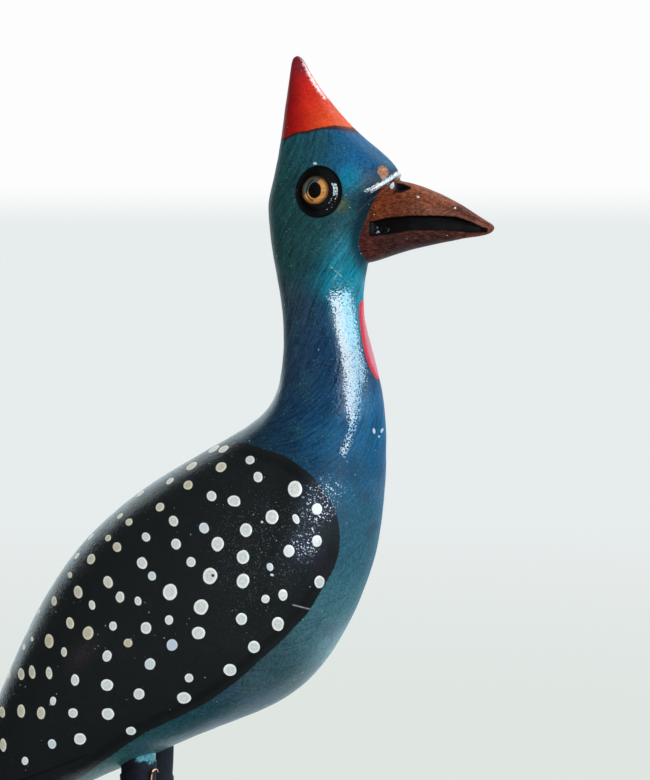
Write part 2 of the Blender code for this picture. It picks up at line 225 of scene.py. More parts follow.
# Drops and specks in the varnish, whose white is a painted glint, and one dot's dark fleck with the tone -1, in the
# same form
DROPS_AND_GLINTS = [
    (392, 185.5, 2.6, 8.5, 8, 1.0), (315, 163.5, 4, 2.6, 0, 1.0), (374, 431, 2.6, 6, -10, 1.0),
    (382, 430.5, 2.2, 6.5, 35, 1.0), (379, 436.5, 3.5, 2, -30, 1.0), (272, 575, 4, 2.5, 20, 0.9),
    (262, 522, 2.5, 2.5, 0, 0.9), (418, 197, 3, 2, 20, 1.0), (455, 208, 2.2, 2.2, 0, 1.0),
    (213, 575.5, 3.6, 3.2, 0, -1.0),
]
# Dots beyond the photograph's left edge follow the same spacing
TAIL_DOT_REGION = (-66, -8, 715, 838)
TAIL_DOT_SPACING = 19.0
TAIL_DOT_TRIES = 400
# A dot's rings as shares of its size and how far each stands out, and how deep the point under it lies
DOT_SIDES = 22
DOT_RINGS = [(0.0, 0.10 * MM), (0.4, 0.095 * MM), (0.75, 0.085 * MM), (0.92, 0.06 * MM), (1.0, -0.06 * MM)]
DOT_UNDERSIDE = 0.08 * MM
# Soft spots on the wing, and one on the beak: strength, pixel across, pixel down, reach across, reach down, slant
# Painted glints and a painted sheen: on the wing's front, and at the mouth's corner on the beak
PAINTED_GLINT_SPOTS = [
    (1.0, 318, 505, 16, 20, 0), (0.9, 305, 545, 14, 16, 0), (0.62, 380, 231, 9, 5, 0), (0.40, 340, 487, 22, 16, 0),
]
# A purplish smudge near the tail, and a painted sheen at the wing's front edge
SMUDGE_AND_SHEEN_SPOTS = [(1.0, 82, 654, 15, 12, 0.6), (0.6, 327, 572, 12, 22, 0)]
# Pale dust specks on the wing's front, partly a painted sheen
DUST_AND_SHEEN_SPOTS = [(0.5, 285, 540, 34, 40, 0), (0.25, 240, 560, 30, 60, 0)]
# How wide the brush strokes' pattern is laid out round the body in mm, and how far it turns a mm along it
FLOW_RADIUS, FLOW_TWIST = 12.0, 0.045
# Where the face begins, in front of and above which the beak's seam is looked for
FACE_PARTS = (115, 700)

SEED = 20261128


def srgb(red, green, blue):
    """A colour given in screen values, as light."""
    def one(value):
        share = value / 255
        return share / 12.92 if share <= 0.04045 else ((share + 0.055) / 1.055) ** 2.4
    return (one(red), one(green), one(blue))


# ---- the camera that the photograph was taken with
bird_low, bird_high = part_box("carved_bird")
GRID_X = (bird_high.x - bird_low.x) / LENGTH_PARTS
GRID_Z = bird_high.z / HEIGHT_PARTS
TARGET = Vector((118.5 * GRID_X, 0, 600 * GRID_Z))
TOWARDS_CAMERA = Vector((
    math.sin(CAMERA_TURN) * math.cos(CAMERA_RISE),
    -math.cos(CAMERA_TURN) * math.cos(CAMERA_RISE),
    math.sin(CAMERA_RISE),
))
EYE_POINT = TARGET + TOWARDS_CAMERA * CAMERA_DISTANCE
FORWARD = -TOWARDS_CAMERA
RIGHT = FORWARD.cross(Vector((0, 0, 1))).normalized()
UP = RIGHT.cross(FORWARD)


def make_camera():
    data = bpy.data.cameras.new("camera")
    data.sensor_fit = "VERTICAL"
    data.sensor_height = SENSOR_HEIGHT
    data.lens = FOCAL_PIXELS * SENSOR_HEIGHT / PHOTO_HEIGHT
    data.clip_end = 200
    camera = bpy.data.objects.new("camera", data)
    camera.location = EYE_POINT
    camera.rotation_euler = FORWARD.to_track_quat("-Z", "Y").to_euler()
    bpy.context.scene.collection.objects.link(camera)
    bpy.context.scene.camera = camera


def photo_pixels(points):
    """Where points, taken over to the side that was photographed, lie in the photograph."""
    near = np.array(points, float)
    near[:, 1] = -np.abs(near[:, 1])
    offset = near - np.array(EYE_POINT)
    depth = offset @ np.array(FORWARD)
    u = PHOTO_WIDTH / 2 + FOCAL_PIXELS * (offset @ np.array(RIGHT)) / depth
    v = PHOTO_HEIGHT / 2 - FOCAL_PIXELS * (offset @ np.array(UP)) / depth
    return u, v


def photo_ray(u, v):
    """The direction in which the photograph's camera sees a pixel."""
    across = (u - PHOTO_WIDTH / 2) / FOCAL_PIXELS
    upwards = (PHOTO_HEIGHT / 2 - v) / FOCAL_PIXELS
    return (FORWARD + RIGHT * across + UP * upwards).normalized()


# ---- shapes
def natural_spline(knots, positions):
    """Rows of numbers joined by a natural cubic spline and read at positions, where row 0 is at 0."""
    knots = np.asarray(knots, float)
    last = len(knots) - 1
    matrix = np.eye(last + 1)
    pull = np.zeros_like(knots)
    for i in range(1, last):
        matrix[i, i - 1 : i + 2] = 1, 4, 1
        pull[i] = 6 * (knots[i - 1] - 2 * knots[i] + knots[i + 1])
    bend = np.linalg.solve(matrix, pull)
    before = np.minimum(positions.astype(int), last - 1)
    b = (positions - before)[:, None]
    a = 1 - b
    straight = a * knots[before] + b * knots[before + 1]
    return straight + ((a**3 - a) * bend[before] + (b**3 - b) * bend[before + 1]) / 6


def smooth_line(points, count=8):
    """A given line drawn smoothly through its points."""
    last = len(points) - 1
    return natural_spline(points, np.linspace(0, last, last * count + 1))


def smoothstep(values, low, high):
    share = np.clip((values - low) / (high - low), 0, 1)
    return share * share * (3 - 2 * share)


fine_rows = natural_spline(BODY_SECTIONS, np.linspace(0, len(BODY_SECTIONS) - 1, 2001))
GRID_Y = bird_high.y / fine_rows[:, 4].max()
GRID = np.array([GRID_X, GRID_Y, GRID_Z])


def section_points(rows, angles):
    """The points of each section, from its back round its left side, front and right side."""
    c, s = np.cos(angles)[None, :], np.sin(angles)[None, :]
    power = np.where(c < 0, 2 / rows[:, 5:6], 1.0)
    along = np.sign(c) * np.abs(c) ** power
    aside = np.sign(s) * np.abs(s) ** power
    x = (rows[:, 0:1] + rows[:, 2:3]) / 2 + along * (rows[:, 0:1] - rows[:, 2:3]) / 2
    z = (rows[:, 1:2] + rows[:, 3:4]) / 2 + along * (rows[:, 1:2] - rows[:, 3:4]) / 2
    return np.stack([x, aside * rows[:, 4:5], z], axis=-1) * GRID


def grid_mesh(name, rings, start=None, end=None):
    """A closed mesh through rings of points, ending in a point where one is given, or in a flat face."""
    count, sides = rings.shape[:2]
    points = [tuple(p) for p in rings.reshape(-1, 3)]
    i = np.arange(sides)
    j = (i + 1) % sides
    base = (np.arange(count - 1) * sides)[:, None]
    quads = np.stack([base + i, base + j, base + sides + j, base + sides + i], axis=-1).reshape(-1, 4)
    faces = quads.tolist()
    for tip, first, turned in ((start, 0, True), (end, (count - 1) * sides, False)):
        ring = list(range(first, first + sides))
        if tip is None:
            faces.append(ring[::-1] if turned else ring)
            continue
        points.append(tuple(tip))
        pole = len(points) - 1
        for a, b in zip(ring, ring[1:] + ring[:1]):
            faces.append((pole, b, a) if turned else (pole, a, b))
    mesh = bpy.data.meshes.new(name)
    mesh.from_pydata(points, [], faces)
    mesh.validate()
    return mesh


def make_object(name, mesh):
    made = bpy.data.objects.new(name, mesh)
    bpy.context.scene.collection.objects.link(made)
    return made


def read(items, name, width, kind=np.float32):
    """Numbers of a mesh's points, edges or triangles, one row each."""
    values = np.zeros(len(items) * width, kind)
    items.foreach_get(name, values)
    return values.reshape(-1, width)


def coordinates(mesh, name="co"):
    return read(mesh.vertices, name, 3).astype(float)


def signed_volume(mesh):
    mesh.calc_loop_triangles()
    a, b, c = coordinates(mesh)[read(mesh.loop_triangles, "vertices", 3, np.int32)].transpose(1, 0, 2)
    return float(np.einsum("ij,ij->i", a, np.cross(b, c)).sum() / 6)


def outward(mesh):
    if signed_volume(mesh) < 0:
        mesh.flip_normals()
    return mesh


def combined(target, tools, operation="UNION"):
    """The mesh of target joined with tools, or with tools cut away. All of them are used up."""
    for tool in tools:
        modifier = target.modifiers.new(tool.name, "BOOLEAN")
        modifier.operation = operation
        modifier.object = tool
        modifier.solver = "MANIFOLD"
    bpy.context.view_layer.update()
    depsgraph = bpy.context.evaluated_depsgraph_get()
    mesh = bpy.data.meshes.new_from_object(target.evaluated_get(depsgraph))
    for used in (target, *tools):
        bpy.data.objects.remove(used, do_unlink=True)
    return mesh


def set_coordinates(mesh, points):
    mesh.vertices.foreach_set("co", points.astype(np.float32).ravel())
    mesh.update()


def surface_tree(mesh):
    return BVHTree.FromPolygons([v.co for v in mesh.vertices], [p.vertices for p in mesh.polygons])


def store(mesh, name, values):
    """Keeps a number or a vector of each point for the materials."""
    values = np.asarray(values, np.float32)
    kind = "FLOAT" if values.ndim == 1 else "FLOAT_VECTOR"
    layer = mesh.attributes.new(name, kind, "POINT")
    layer.data.foreach_set("value" if values.ndim == 1 else "vector", values.ravel())


def store_photo(mesh, points):
    """Keeps where in the photograph each point lies."""
    u, v = photo_pixels(points)
    store(mesh, "photo_u", u)
    store(mesh, "photo_v", v)
    return u, v


def relaxed(mesh, points, weights, rounds):
    """Points drawn towards the middle of their neighbours, by a weight each."""
    a, b = read(mesh.edges, "vertices", 2, np.int32).T
    count = np.bincount(a, minlength=len(points)) + np.bincount(b, minlength=len(points))
    for _ in range(rounds):
        middle = np.stack([
            np.bincount(a, points[b, k], len(points)) + np.bincount(b, points[a, k], len(points)) for k in range(3)
        ], axis=1) / count[:, None]
        points = points + 0.5 * weights[:, None] * (middle - points)
    return points


def segment_distance(u, v, start, end):
    """How far each place lies from a straight piece of line."""
    (ax, ay), (bx, by) = start, end
    dx, dy = bx - ax, by - ay
    share = np.clip(((u - ax) * dx + (v - ay) * dy) / max(dx * dx + dy * dy, 1e-12), 0, 1)
    return np.hypot(u - ax - share * dx, v - ay - share * dy)


def line_distance(u, v, line):
    """How far each place lies from a line through points."""
    return np.min([segment_distance(u, v, *ends) for ends in zip(line, line[1:])], axis=0)


def region_distance(u, v, corners):
    """How far inside a closed outline each place lies, negative outside."""
    nearest = np.full(len(u), np.inf)
    inside = np.zeros(len(u), bool)
    for (ax, ay), (bx, by) in zip(corners, [*corners[1:], corners[0]]):
        nearest = np.minimum(nearest, segment_distance(u, v, (ax, ay), (bx, by)))
        if ay != by:
            crosses = (ay > v) != (by > v)
            inside ^= crosses & (u < (bx - ax) * (v - ay) / (by - ay) + ax)
    return np.where(inside, nearest, -nearest)


def outline(points, far_side=()):
    """A closed outline: a smooth line through points, and plain corners on its far side."""
    return [*smooth_line(points), *far_side]


def inside_band(x, z, line, before, after):
    """How far inside a band between two edges each place lies, with some room at its ends."""
    xs, uppers, lowers = (np.array(c, float) for c in zip(*line))
    inside = np.minimum(np.interp(x, xs, uppers) - z, z - np.interp(x, xs, lowers))
    return np.minimum(inside, np.minimum(x - xs[0] + before, xs[-1] + after - x))


def spots(u, v, rows):
    """How strongly soft round spots lie on each place."""
    return sum(
        strength * np.exp(-(((u - across) / wide) ** 2 + ((v - down + slant * (u - across)) / high) ** 2))
        for strength, across, down, wide, high, slant in rows)


def soft_noise(points, size, seed):
    """Gentle waves between -1 and 1, about as long as size."""
    rng = np.random.default_rng(seed)
    total = np.zeros(len(points))
    for _ in range(10):
        direction = rng.normal(size=3)
        direction *= rng.uniform(0.7, 1.4) * 2 * math.pi / size / np.linalg.norm(direction)
        total += np.sin(points @ direction + rng.uniform(0, 2 * math.pi))
    return total / 10 * 1.6


# ---- the carved bird
def ring_positions():
    """Where along the sections the fine rings lie: closer together on the neck and closest on the head."""
    places = np.linspace(0, len(BODY_SECTIONS) - 1, 4001)
    rows = natural_spline(BODY_SECTIONS, places)
    middle = np.stack([(rows[:, 0] + rows[:, 2]) / 2 * GRID_X, (rows[:, 1] + rows[:, 3]) / 2 * GRID_Z], axis=1)
    steps = np.linalg.norm(np.diff(middle, axis=0), axis=1)
    heights, spacings = zip(*RING_SPACING, RING_SPACING_END)
    spacing = np.interp(middle[1:, 1] / GRID_Z, heights, spacings)
    density = np.concatenate([[0], np.cumsum(steps / spacing)])
    wanted = np.linspace(0, density[-1], int(density[-1]) + 1)[1:-1]
    return np.interp(wanted, density, places), np.concatenate([[0], np.cumsum(steps)]), places


def band_depth(x, z, line, depth, root_share):
    """Depth of a carved wedge between an upper and a lower edge, deepest just under its upper edge."""
    xs, uppers, lowers = (np.array(c, float) for c in zip(*line))
    upper, lower = np.interp(x, xs, uppers), np.interp(x, xs, lowers)
    height = upper - lower
    root = upper - height * root_share
    cut = np.minimum((z - lower) / np.maximum(root - lower, 0.1), (upper - z) / np.maximum(upper - root, 0.1))
    ends = np.clip(np.minimum(x - xs[0] + 1.5, xs[-1] - x + 1.5) / 3, 0, 1)
    return np.clip(cut, 0, 1) * depth * height / (uppers - lowers).max() * ends


def blunted(rings, tip, radius):
    """Rings whose point at the tip is rounded by hand."""
    middles = rings.mean(axis=1, keepdims=True)
    distance = np.linalg.norm(middles - tip, axis=2, keepdims=True)
    swell = np.sqrt(2 * radius * distance) * np.exp(-distance / (2.4 * radius))
    outwards = rings - middles
    return rings + outwards / np.linalg.norm(outwards, axis=2, keepdims=True) * swell


def make_bird_mesh():
    positions, lengths, places = ring_positions()
    angles = np.linspace(0, 2 * math.pi, BODY_SIDES, endpoint=False)
    positions = np.append(positions, len(BODY_SECTIONS) - 1 - np.array(TIP_SHARES))
    tips = [np.array([row[0], 0, row[1]]) * GRID for row in (BODY_SECTIONS[0], BODY_SECTIONS[-1])]
    rings = section_points(natural_spline(BODY_SECTIONS, positions), angles)
    rings = blunted(rings, tips[1], CREST_TIP_RADIUS)
    body = outward(grid_mesh("body_form", rings, *tips))
    beak_last = len(BEAK_SECTIONS) - 1
    beak_places = np.append(np.linspace(0, beak_last, BEAK_RINGS + 1)[:-1], beak_last - np.array(TIP_SHARES))
    beak_rows = natural_spline(BEAK_SECTIONS, beak_places)
    beak_angles = np.linspace(0, 2 * math.pi, BEAK_SIDES, endpoint=False)
    beak_tip = np.array([BEAK_SECTIONS[-1][0], 0, BEAK_SECTIONS[-1][1]]) * GRID
    beak_rings = blunted(section_points(beak_rows, beak_angles), beak_tip, BEAK_TIP_RADIUS)
    beak = outward(grid_mesh("beak_form", beak_rings, None, beak_tip))
    trees = [surface_tree(part) for part in (body, beak)]
    along = np.repeat(np.interp(positions, places, lengths), BODY_SIDES)
    turn = np.tile(angles, len(positions))
    finder = KDTree(len(along))
    for index, point in enumerate(rings.reshape(-1, 3)):
        finder.insert(point, index)
    finder.balance()
    mesh = combined(make_object("body_form", body), [make_object("beak_form", beak)])
    points = coordinates(mesh)
    nearest = np.array([finder.find(p)[1] for p in points])
    seam = KDTree(len(points))
    head_front = points[:, 0] > FACE_PARTS[0] * GRID_X
    for index in np.nonzero(head_front & (points[:, 2] > FACE_PARTS[1] * GRID_Z))[0]:
        point = Vector(points[index])
        if all(tree.find_nearest(point)[3] < 0.02 * MM for tree in trees):
            seam.insert(point, int(index))
    seam.balance()
    weights = np.zeros(len(points))
    for index in np.nonzero(head_front)[0]:
        weights[index] = 1 - smoothstep(seam.find(points[index])[2], 0.4 * MM, 1.7 * MM)
    points = relaxed(mesh, points, weights, 14)
    set_coordinates(mesh, points)
    return mesh, points, along[nearest], turn[nearest]


def carved(mesh, points):
    """The points after the knife: eyes, mouth, nostrils and a slight hand-carved unevenness."""
    outwards = coordinates(mesh, "normal")
    x, z = points[:, 0] / GRID_X, points[:, 2] / GRID_Z
    eye_x = points[:, 0] - EYE_CENTRE_PARTS[0] * GRID_X
    eye_z = points[:, 2] - EYE_CENTRE_PARTS[1] * GRID_Z
    distance = np.hypot(eye_x, eye_z)
    rim = np.hypot(eye_x / EYE_RING_WIDTH, eye_z / EYE_RING_HEIGHT) * 2
    wall = 0.35 * MM
    to_rim = (1 - rim) * EYE_RING_WIDTH / 2
    boss = EYE_BOSS_DIAMETER / 2
    groove = np.clip(to_rim / wall, 0, 1) * smoothstep(distance, boss - wall / 2, boss + wall / 2)
    depth = EYE_GROOVE_DEPTH * groove
    depth += 0.22 * MM * smoothstep(distance, boss * 0.45, boss * 0.85) * (1 - smoothstep(distance, boss * 0.9, boss))
    depth -= 0.30 * MM * np.exp(-(((distance - boss * 0.87) / (0.30 * MM)) ** 2))
    depth += band_depth(x, z, MOUTH_LINE, MOUTH_DEPTH, 0.15) * (np.abs(points[:, 1]) > 0.4 * MM)
    depth += band_depth(x, z, NOSTRIL_LINE, NOSTRIL_DEPTH, 0.2)
    u, v = photo_pixels(points)
    depth -= LIP_HEIGHT * np.exp(-((line_distance(u, v, LIP_LINE) / LIP_REACH) ** 2))
    calm = smoothstep(distance, EYE_RING_WIDTH * 0.5, EYE_RING_WIDTH * 0.8)
    uneven = 0.10 * MM * soft_noise(points, 16 * MM, 1) + 0.05 * MM * soft_noise(points, 6 * MM, 2)
    return points + outwards * (uneven * calm - depth)[:, None]


# ---- paint
# The tones of blue, and where each was brushed on: pixel across, pixel down, reach
TONES = {
    "nape": (srgb(50, 60, 66), [(373, 171, 6), (288, 320, 22), (286, 375, 22)]),
    "slate": (srgb(22, 42, 56), [(366, 184, 8), (362, 200, 8), (278, 430, 28), (352, 470, 8), (311, 266, 7)]),
    "teal shade": (srgb(30, 66, 68), [(288, 168, 20), (285, 215, 22), (305, 232, 26), (300, 250, 16), (322, 146, 9)]),
    "teal": (srgb(34, 86, 100), [(315, 150, 22), (378, 150, 9), (345, 228, 20)]),
    # sky: the crown's bright blue, partly a painted sheen of the light from above
    "sky": (srgb(20, 104, 164), [(350, 152, 17), (370, 158, 8), (366, 162, 7)]),
    "turquoise": (srgb(0, 158, 190), [(351, 178, 7), (345, 250, 9), (346, 276, 16), (358, 322, 12)]),
    "deep blue": (srgb(14, 60, 100), [(318, 340, 26), (315, 400, 30)]),
    "blue": (srgb(24, 102, 152), [(345, 430, 24), (368, 460, 26)]),
    "breast": (srgb(50, 106, 130), [(360, 540, 40)]),
    "low breast": (srgb(74, 124, 136), [(338, 618, 34)]),
    "belly": (srgb(50, 74, 84), [(280, 668, 34)]),
    "olive": (srgb(104, 108, 40), [(341, 205, 4)]),
    "belly shade": (srgb(28, 64, 74), [(200, 715, 40)]),
    "belly end": (srgb(42, 82, 84), [(125, 752, 30)]),
    "pale belly": (srgb(74, 98, 106), [(258, 693, 13)]),
    "pale breast": (srgb(98, 146, 158), [(322, 644, 11)]),
    "bright blue": (srgb(16, 120, 182), [(369, 408, 8), (377, 442, 8)]),
    "front edge": (srgb(86, 126, 158), [(383, 490, 7)]),
    "navy": (srgb(14, 44, 72), [(320, 468, 9), (332, 402, 8), (284, 408, 9)]),
}
# The crest's reds and the beak's browns: colour, pixel across, pixel down, reach
# The crest is darker on its left and orange on its right, partly a painted shade and a painted light
CREST_TONES = [
    (srgb(98, 20, 28), 282, 118, 12), (srgb(192, 10, 8), 305, 118, 13), (srgb(255, 104, 52), 336, 120, 15),
    (srgb(122, 34, 42), 294, 62, 8), (srgb(226, 34, 24), 313, 92, 11), (srgb(96, 18, 26), 288, 92, 10),
    (srgb(246, 66, 38), 323, 106, 9),
]
BEAK_TONES = [
    (srgb(180, 102, 68), 432, 194, 17), (srgb(88, 40, 22), 402, 209, 18), (srgb(132, 62, 28), 382, 204, 12),
    (srgb(58, 38, 38), 392, 246, 20), (srgb(42, 32, 34), 440, 238, 30), (srgb(92, 42, 34), 368, 246, 9),
    (srgb(140, 78, 54), 486, 224, 9), (srgb(104, 50, 36), 470, 222, 14), (srgb(78, 40, 36), 375, 262, 8),
]


def blended(tones, u, v):
    """Each place's colour, mixed from the tones round it."""
    total = np.zeros((len(u), 3))
    weight = np.zeros(len(u))
    for colour, across, down, reach in tones:
        away = (u - across) ** 2 + (v - down) ** 2
        near = np.exp(-away / (2 * (reach * 1.1) ** 2)) + 1e-9 / (1 + away)
        total += near[:, None] * np.array(colour)
        weight += near
    return total / weight[:, None]


def paint_bird(mesh, points, along, turn):
    """Keeps what is painted where, for the materials."""
    u, v = store_photo(mesh, points)
    x, z = points[:, 0] / GRID_X, points[:, 2] / GRID_Z
    blues = [(colour, *place) for colour, places in TONES.values() for place in places]
    crest_u, crest_v = smooth_line(CREST_BASE).T
    wattle = region_distance(u, v, outline(WATTLE_EDGE, WATTLE_FAR_SIDE))
    twisted = turn + along / MM * FLOW_TWIST
    gloss = varnish(u, v)
    eye_x = x - EYE_CENTRE_PARTS[0]
    eye = smoothstep(np.hypot(eye_x, z - EYE_CENTRE_PARTS[1]), 28, 24)
    gloss = gloss * (1 - eye) + eye * smoothstep(eye_x, -3, 6)
    gloss = np.where(wattle > 0, np.minimum(gloss, 0.25), gloss)
    shine = region_distance(u, v, outline(NECK_SHINE)) / np.interp(u, [338, 354], [3.0, 9.0])
    shine -= 0.7 * smoothstep(v, 405, 450)
    shine = np.maximum(shine, region_distance(u, v, CREST_SHINE) / 2.5 - 0.2)
    shine = np.maximum(shine, (3.3 - line_distance(u, v, LIP_LINE)) / 1.6)
    for name, values in {
        "wing": region_distance(u, v, outline(WING_EDGE, WING_FAR_SIDE)),
        "crest": np.interp(u, crest_u, crest_v) - v,
        "beak": region_distance(u, v, outline(BEAK_EDGE, BEAK_FAR_SIDE)),
        "wattle": wattle,
        "bare": region_distance(u, v, BARE_WOOD),
        "paint": blended(blues, u, v),
        "accent": np.where((v < 150)[:, None], blended(CREST_TONES, u, v), blended(BEAK_TONES, u, v)),
        "mouth": inside_band(x, z, MOUTH_LINE, 2.5, 4),
        "nostril": inside_band(x, z, NOSTRIL_LINE, 0, 0),
        "flow": np.stack([FLOW_RADIUS * np.cos(twisted), FLOW_RADIUS * np.sin(twisted), along / MM], axis=1),
        "gloss": np.clip(gloss, 0, 1),
        "thick": np.clip(np.where(wattle > -1, -2, shine), -2, 2),
        "painted_glints": spots(u, v, PAINTED_GLINT_SPOTS),
        "smudge_and_sheen": spots(u, v, SMUDGE_AND_SHEEN_SPOTS),
        "dust_and_sheen": spots(u, v, DUST_AND_SHEEN_SPOTS),
    }.items():
        store(mesh, name, values)


def varnish(u, v):
    """How thick the shiny varnish lies: thin on breast, face, crest, nape and belly and at the wing's front."""
    neck = smoothstep(v, 272, 290) * smoothstep(v, 440, 400) * smoothstep(u, 292, 330)
    breast = smoothstep(v, 395, 424) * smoothstep(u + 0.25 * (v - 430), 270, 305) * smoothstep(v, 660, 600)
    face = smoothstep(v, 290, 272) * smoothstep(u, 288, 318)
    nape = smoothstep(u, 306, 290) * smoothstep(v, 390, 365)
    belly = smoothstep(v + 0.5 * u, 735, 800) * smoothstep(v, 600, 660)
    return (0.62 - 0.5 * neck) * (1 - 0.98 * breast) * (1 - 0.92 * face) * (1 - 0.6 * belly) * (1 - 0.75 * nape)


# ---- painted dots
def dot_layout():
    """The dots of one side: those of the photograph, and a plain scatter on the tail beyond its edge."""
    rng = np.random.default_rng(SEED)
    dots = DOTS + DROPS_AND_GLINTS
    left, right, top, bottom = TAIL_DOT_REGION
    for _ in range(TAIL_DOT_TRIES):
        u, v = rng.uniform(left, right), rng.uniform(top, bottom)
        if min(math.hypot(u - d[0], v - d[1]) for d in dots) < TAIL_DOT_SPACING:
            continue
        size = rng.uniform(8, 13)
        dots.append((u, v, size * 0.7, size * 1.2, rng.uniform(-15, 10), rng.uniform(0, 0.6)))
    return dots


def make_dots(tree):
    rng = np.random.default_rng(SEED + 1)
    points, faces, tone, edge = [], [], [], []
    for mirror in (1, -1):
        for u, v, width, height, lean, colour in dot_layout():
            if mirror < 0 and (u, v, width, height, lean, colour) in DROPS_AND_GLINTS:
                continue
            if mirror < 0:
                u, v = u + rng.normal(0, 2.0), v + rng.normal(0, 2.0)
                width, height = width * rng.uniform(0.9, 1.1), height * rng.uniform(0.9, 1.1)
            hit, normal, _, _ = tree.ray_cast(EYE_POINT, photo_ray(u, v))
            shape = rng.normal(0, 1, (2, 4))
            if hit is None:
                continue
            first = normal.orthogonal().normalized()
            second = normal.cross(first)
            columns = []
            for du, dv in ((1, 0), (0, 1)):
                ray = photo_ray(u + du, v + dv)
                reach = (hit - EYE_POINT).dot(normal) / ray.dot(normal)
                offset = EYE_POINT + ray * reach - hit
                columns.append((offset.dot(first), offset.dot(second)))
            pixel = np.array(columns).T
            angle = math.radians(lean)
            axes = np.array([[math.cos(angle), -math.sin(angle)], [math.sin(angle), math.cos(angle)]])
            form = pixel @ axes @ np.diag([width / 2, height / 2])
            left_axes, sizes, right_axes = np.linalg.svd(form)
            usual = (hit - EYE_POINT).length / FOCAL_PIXELS * max(width, height) / 2
            form = left_axes @ np.diag(np.clip(sizes, 0.55 * usual, 1.25 * usual)) @ right_axes
            start = len(points)
            for share, lift in DOT_RINGS:
                for k in range(DOT_SIDES if share else 1):
                    a = 2 * math.pi * k / DOT_SIDES
                    wobble = 1 + 0.014 * sum(
                        shape[0, n] * math.cos((n + 2) * a) + shape[1, n] * math.sin((n + 2) * a)
                        for n in range(4)) / 2
                    flat = form @ np.array([math.cos(a), math.sin(a)]) * share * wobble
                    place = hit + first * flat[0] + second * flat[1]
                    near, surface, _, _ = tree.find_nearest(place)
                    near = near + surface * lift * (1.6 if colour < 0 else 1.0)
                    points.append((near.x, mirror * near.y, near.z))
                    tone.append(colour)
                    edge.append(share)
            near, surface, _, _ = tree.find_nearest(hit)
            near = near - surface * DOT_UNDERSIDE
            points.append((near.x, mirror * near.y, near.z))
            tone.append(colour)
            edge.append(0.0)
            under = len(points) - 1
            made = []
            *inner, last = (start + 1 + ring * DOT_SIDES for ring in range(len(DOT_RINGS) - 1))
            for k in range(DOT_SIDES):
                m = (k + 1) % DOT_SIDES
                made.append((start, start + 1 + k, start + 1 + m))
                for low in inner:
                    high = low + DOT_SIDES
                    made.append((low + k, high + k, high + m, low + m))
                made.append((last + k, under, last + m))
            faces += made if mirror > 0 else [f[::-1] for f in made]
    mesh = bpy.data.meshes.new("painted_dots")
    mesh.from_pydata(points, [], faces)
    outward(mesh)
    mesh.shade_smooth()
    store(mesh, "tone", np.array(tone))
    store(mesh, "edge", np.array(edge))
    return mesh


# ---- legs
def tube_rings(path, radii, sides, lift=None):
    """Round sections square to a path, which don't twist from one to the next."""
    path = np.asarray(path, float)
    ahead = np.gradient(path, axis=0)
    ahead /= np.linalg.norm(ahead, axis=1)[:, None]
    angles = np.linspace(0, 2 * math.pi, sides, endpoint=False)
    across = np.cross(ahead[0], [0.0, 1.0, 0.0])
    rings = []
    for i, centre in enumerate(path):
        across = across - ahead[i] * (across @ ahead[i])
        across /= np.linalg.norm(across)
        other = np.cross(ahead[i], across)
        reach = radii[i] + (0 if lift is None else lift(i, angles))
        reach = np.broadcast_to(reach, angles.shape)[:, None]
        rings.append(centre + reach * (np.cos(angles)[:, None] * across + np.sin(angles)[:, None] * other))
    return np.array(rings)


def path_lengths(path):
    return np.concatenate([[0], np.cumsum(np.linalg.norm(np.diff(path, axis=0), axis=1))])


def wrapping(lengths, pitch, thickness, seed):
    """How far a strip wound round a tube stands out, with one overlapping edge a turn."""
    rng = np.random.default_rng(seed)
    phases = rng.uniform(0, 2 * math.pi, 3)

    def lift(i, angles):
        sway = 0.09 * np.sin(angles + phases[0]) + 0.05 * np.sin(2 * angles + lengths[i] / (4 * MM) + phases[1])
        share = (lengths[i] / pitch - angles / (2 * math.pi) + sway) % 1.0
        edge = smoothstep(share, 0.0, 0.035)
        crumple = 0.05 * MM * np.sin(3 * angles + lengths[i] / (2.1 * MM) + phases[2])
        return thickness * (edge * (1 - share) - 0.55) + crumple
    return lift


def leg_frame(side):
    low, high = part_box("left_leg" if side > 0 else "right_leg")
    hip_z = high.z - SOCKET_DEPTH + FIT_CLEARANCE
    return HIP_X_PARTS * GRID_X, hip_z


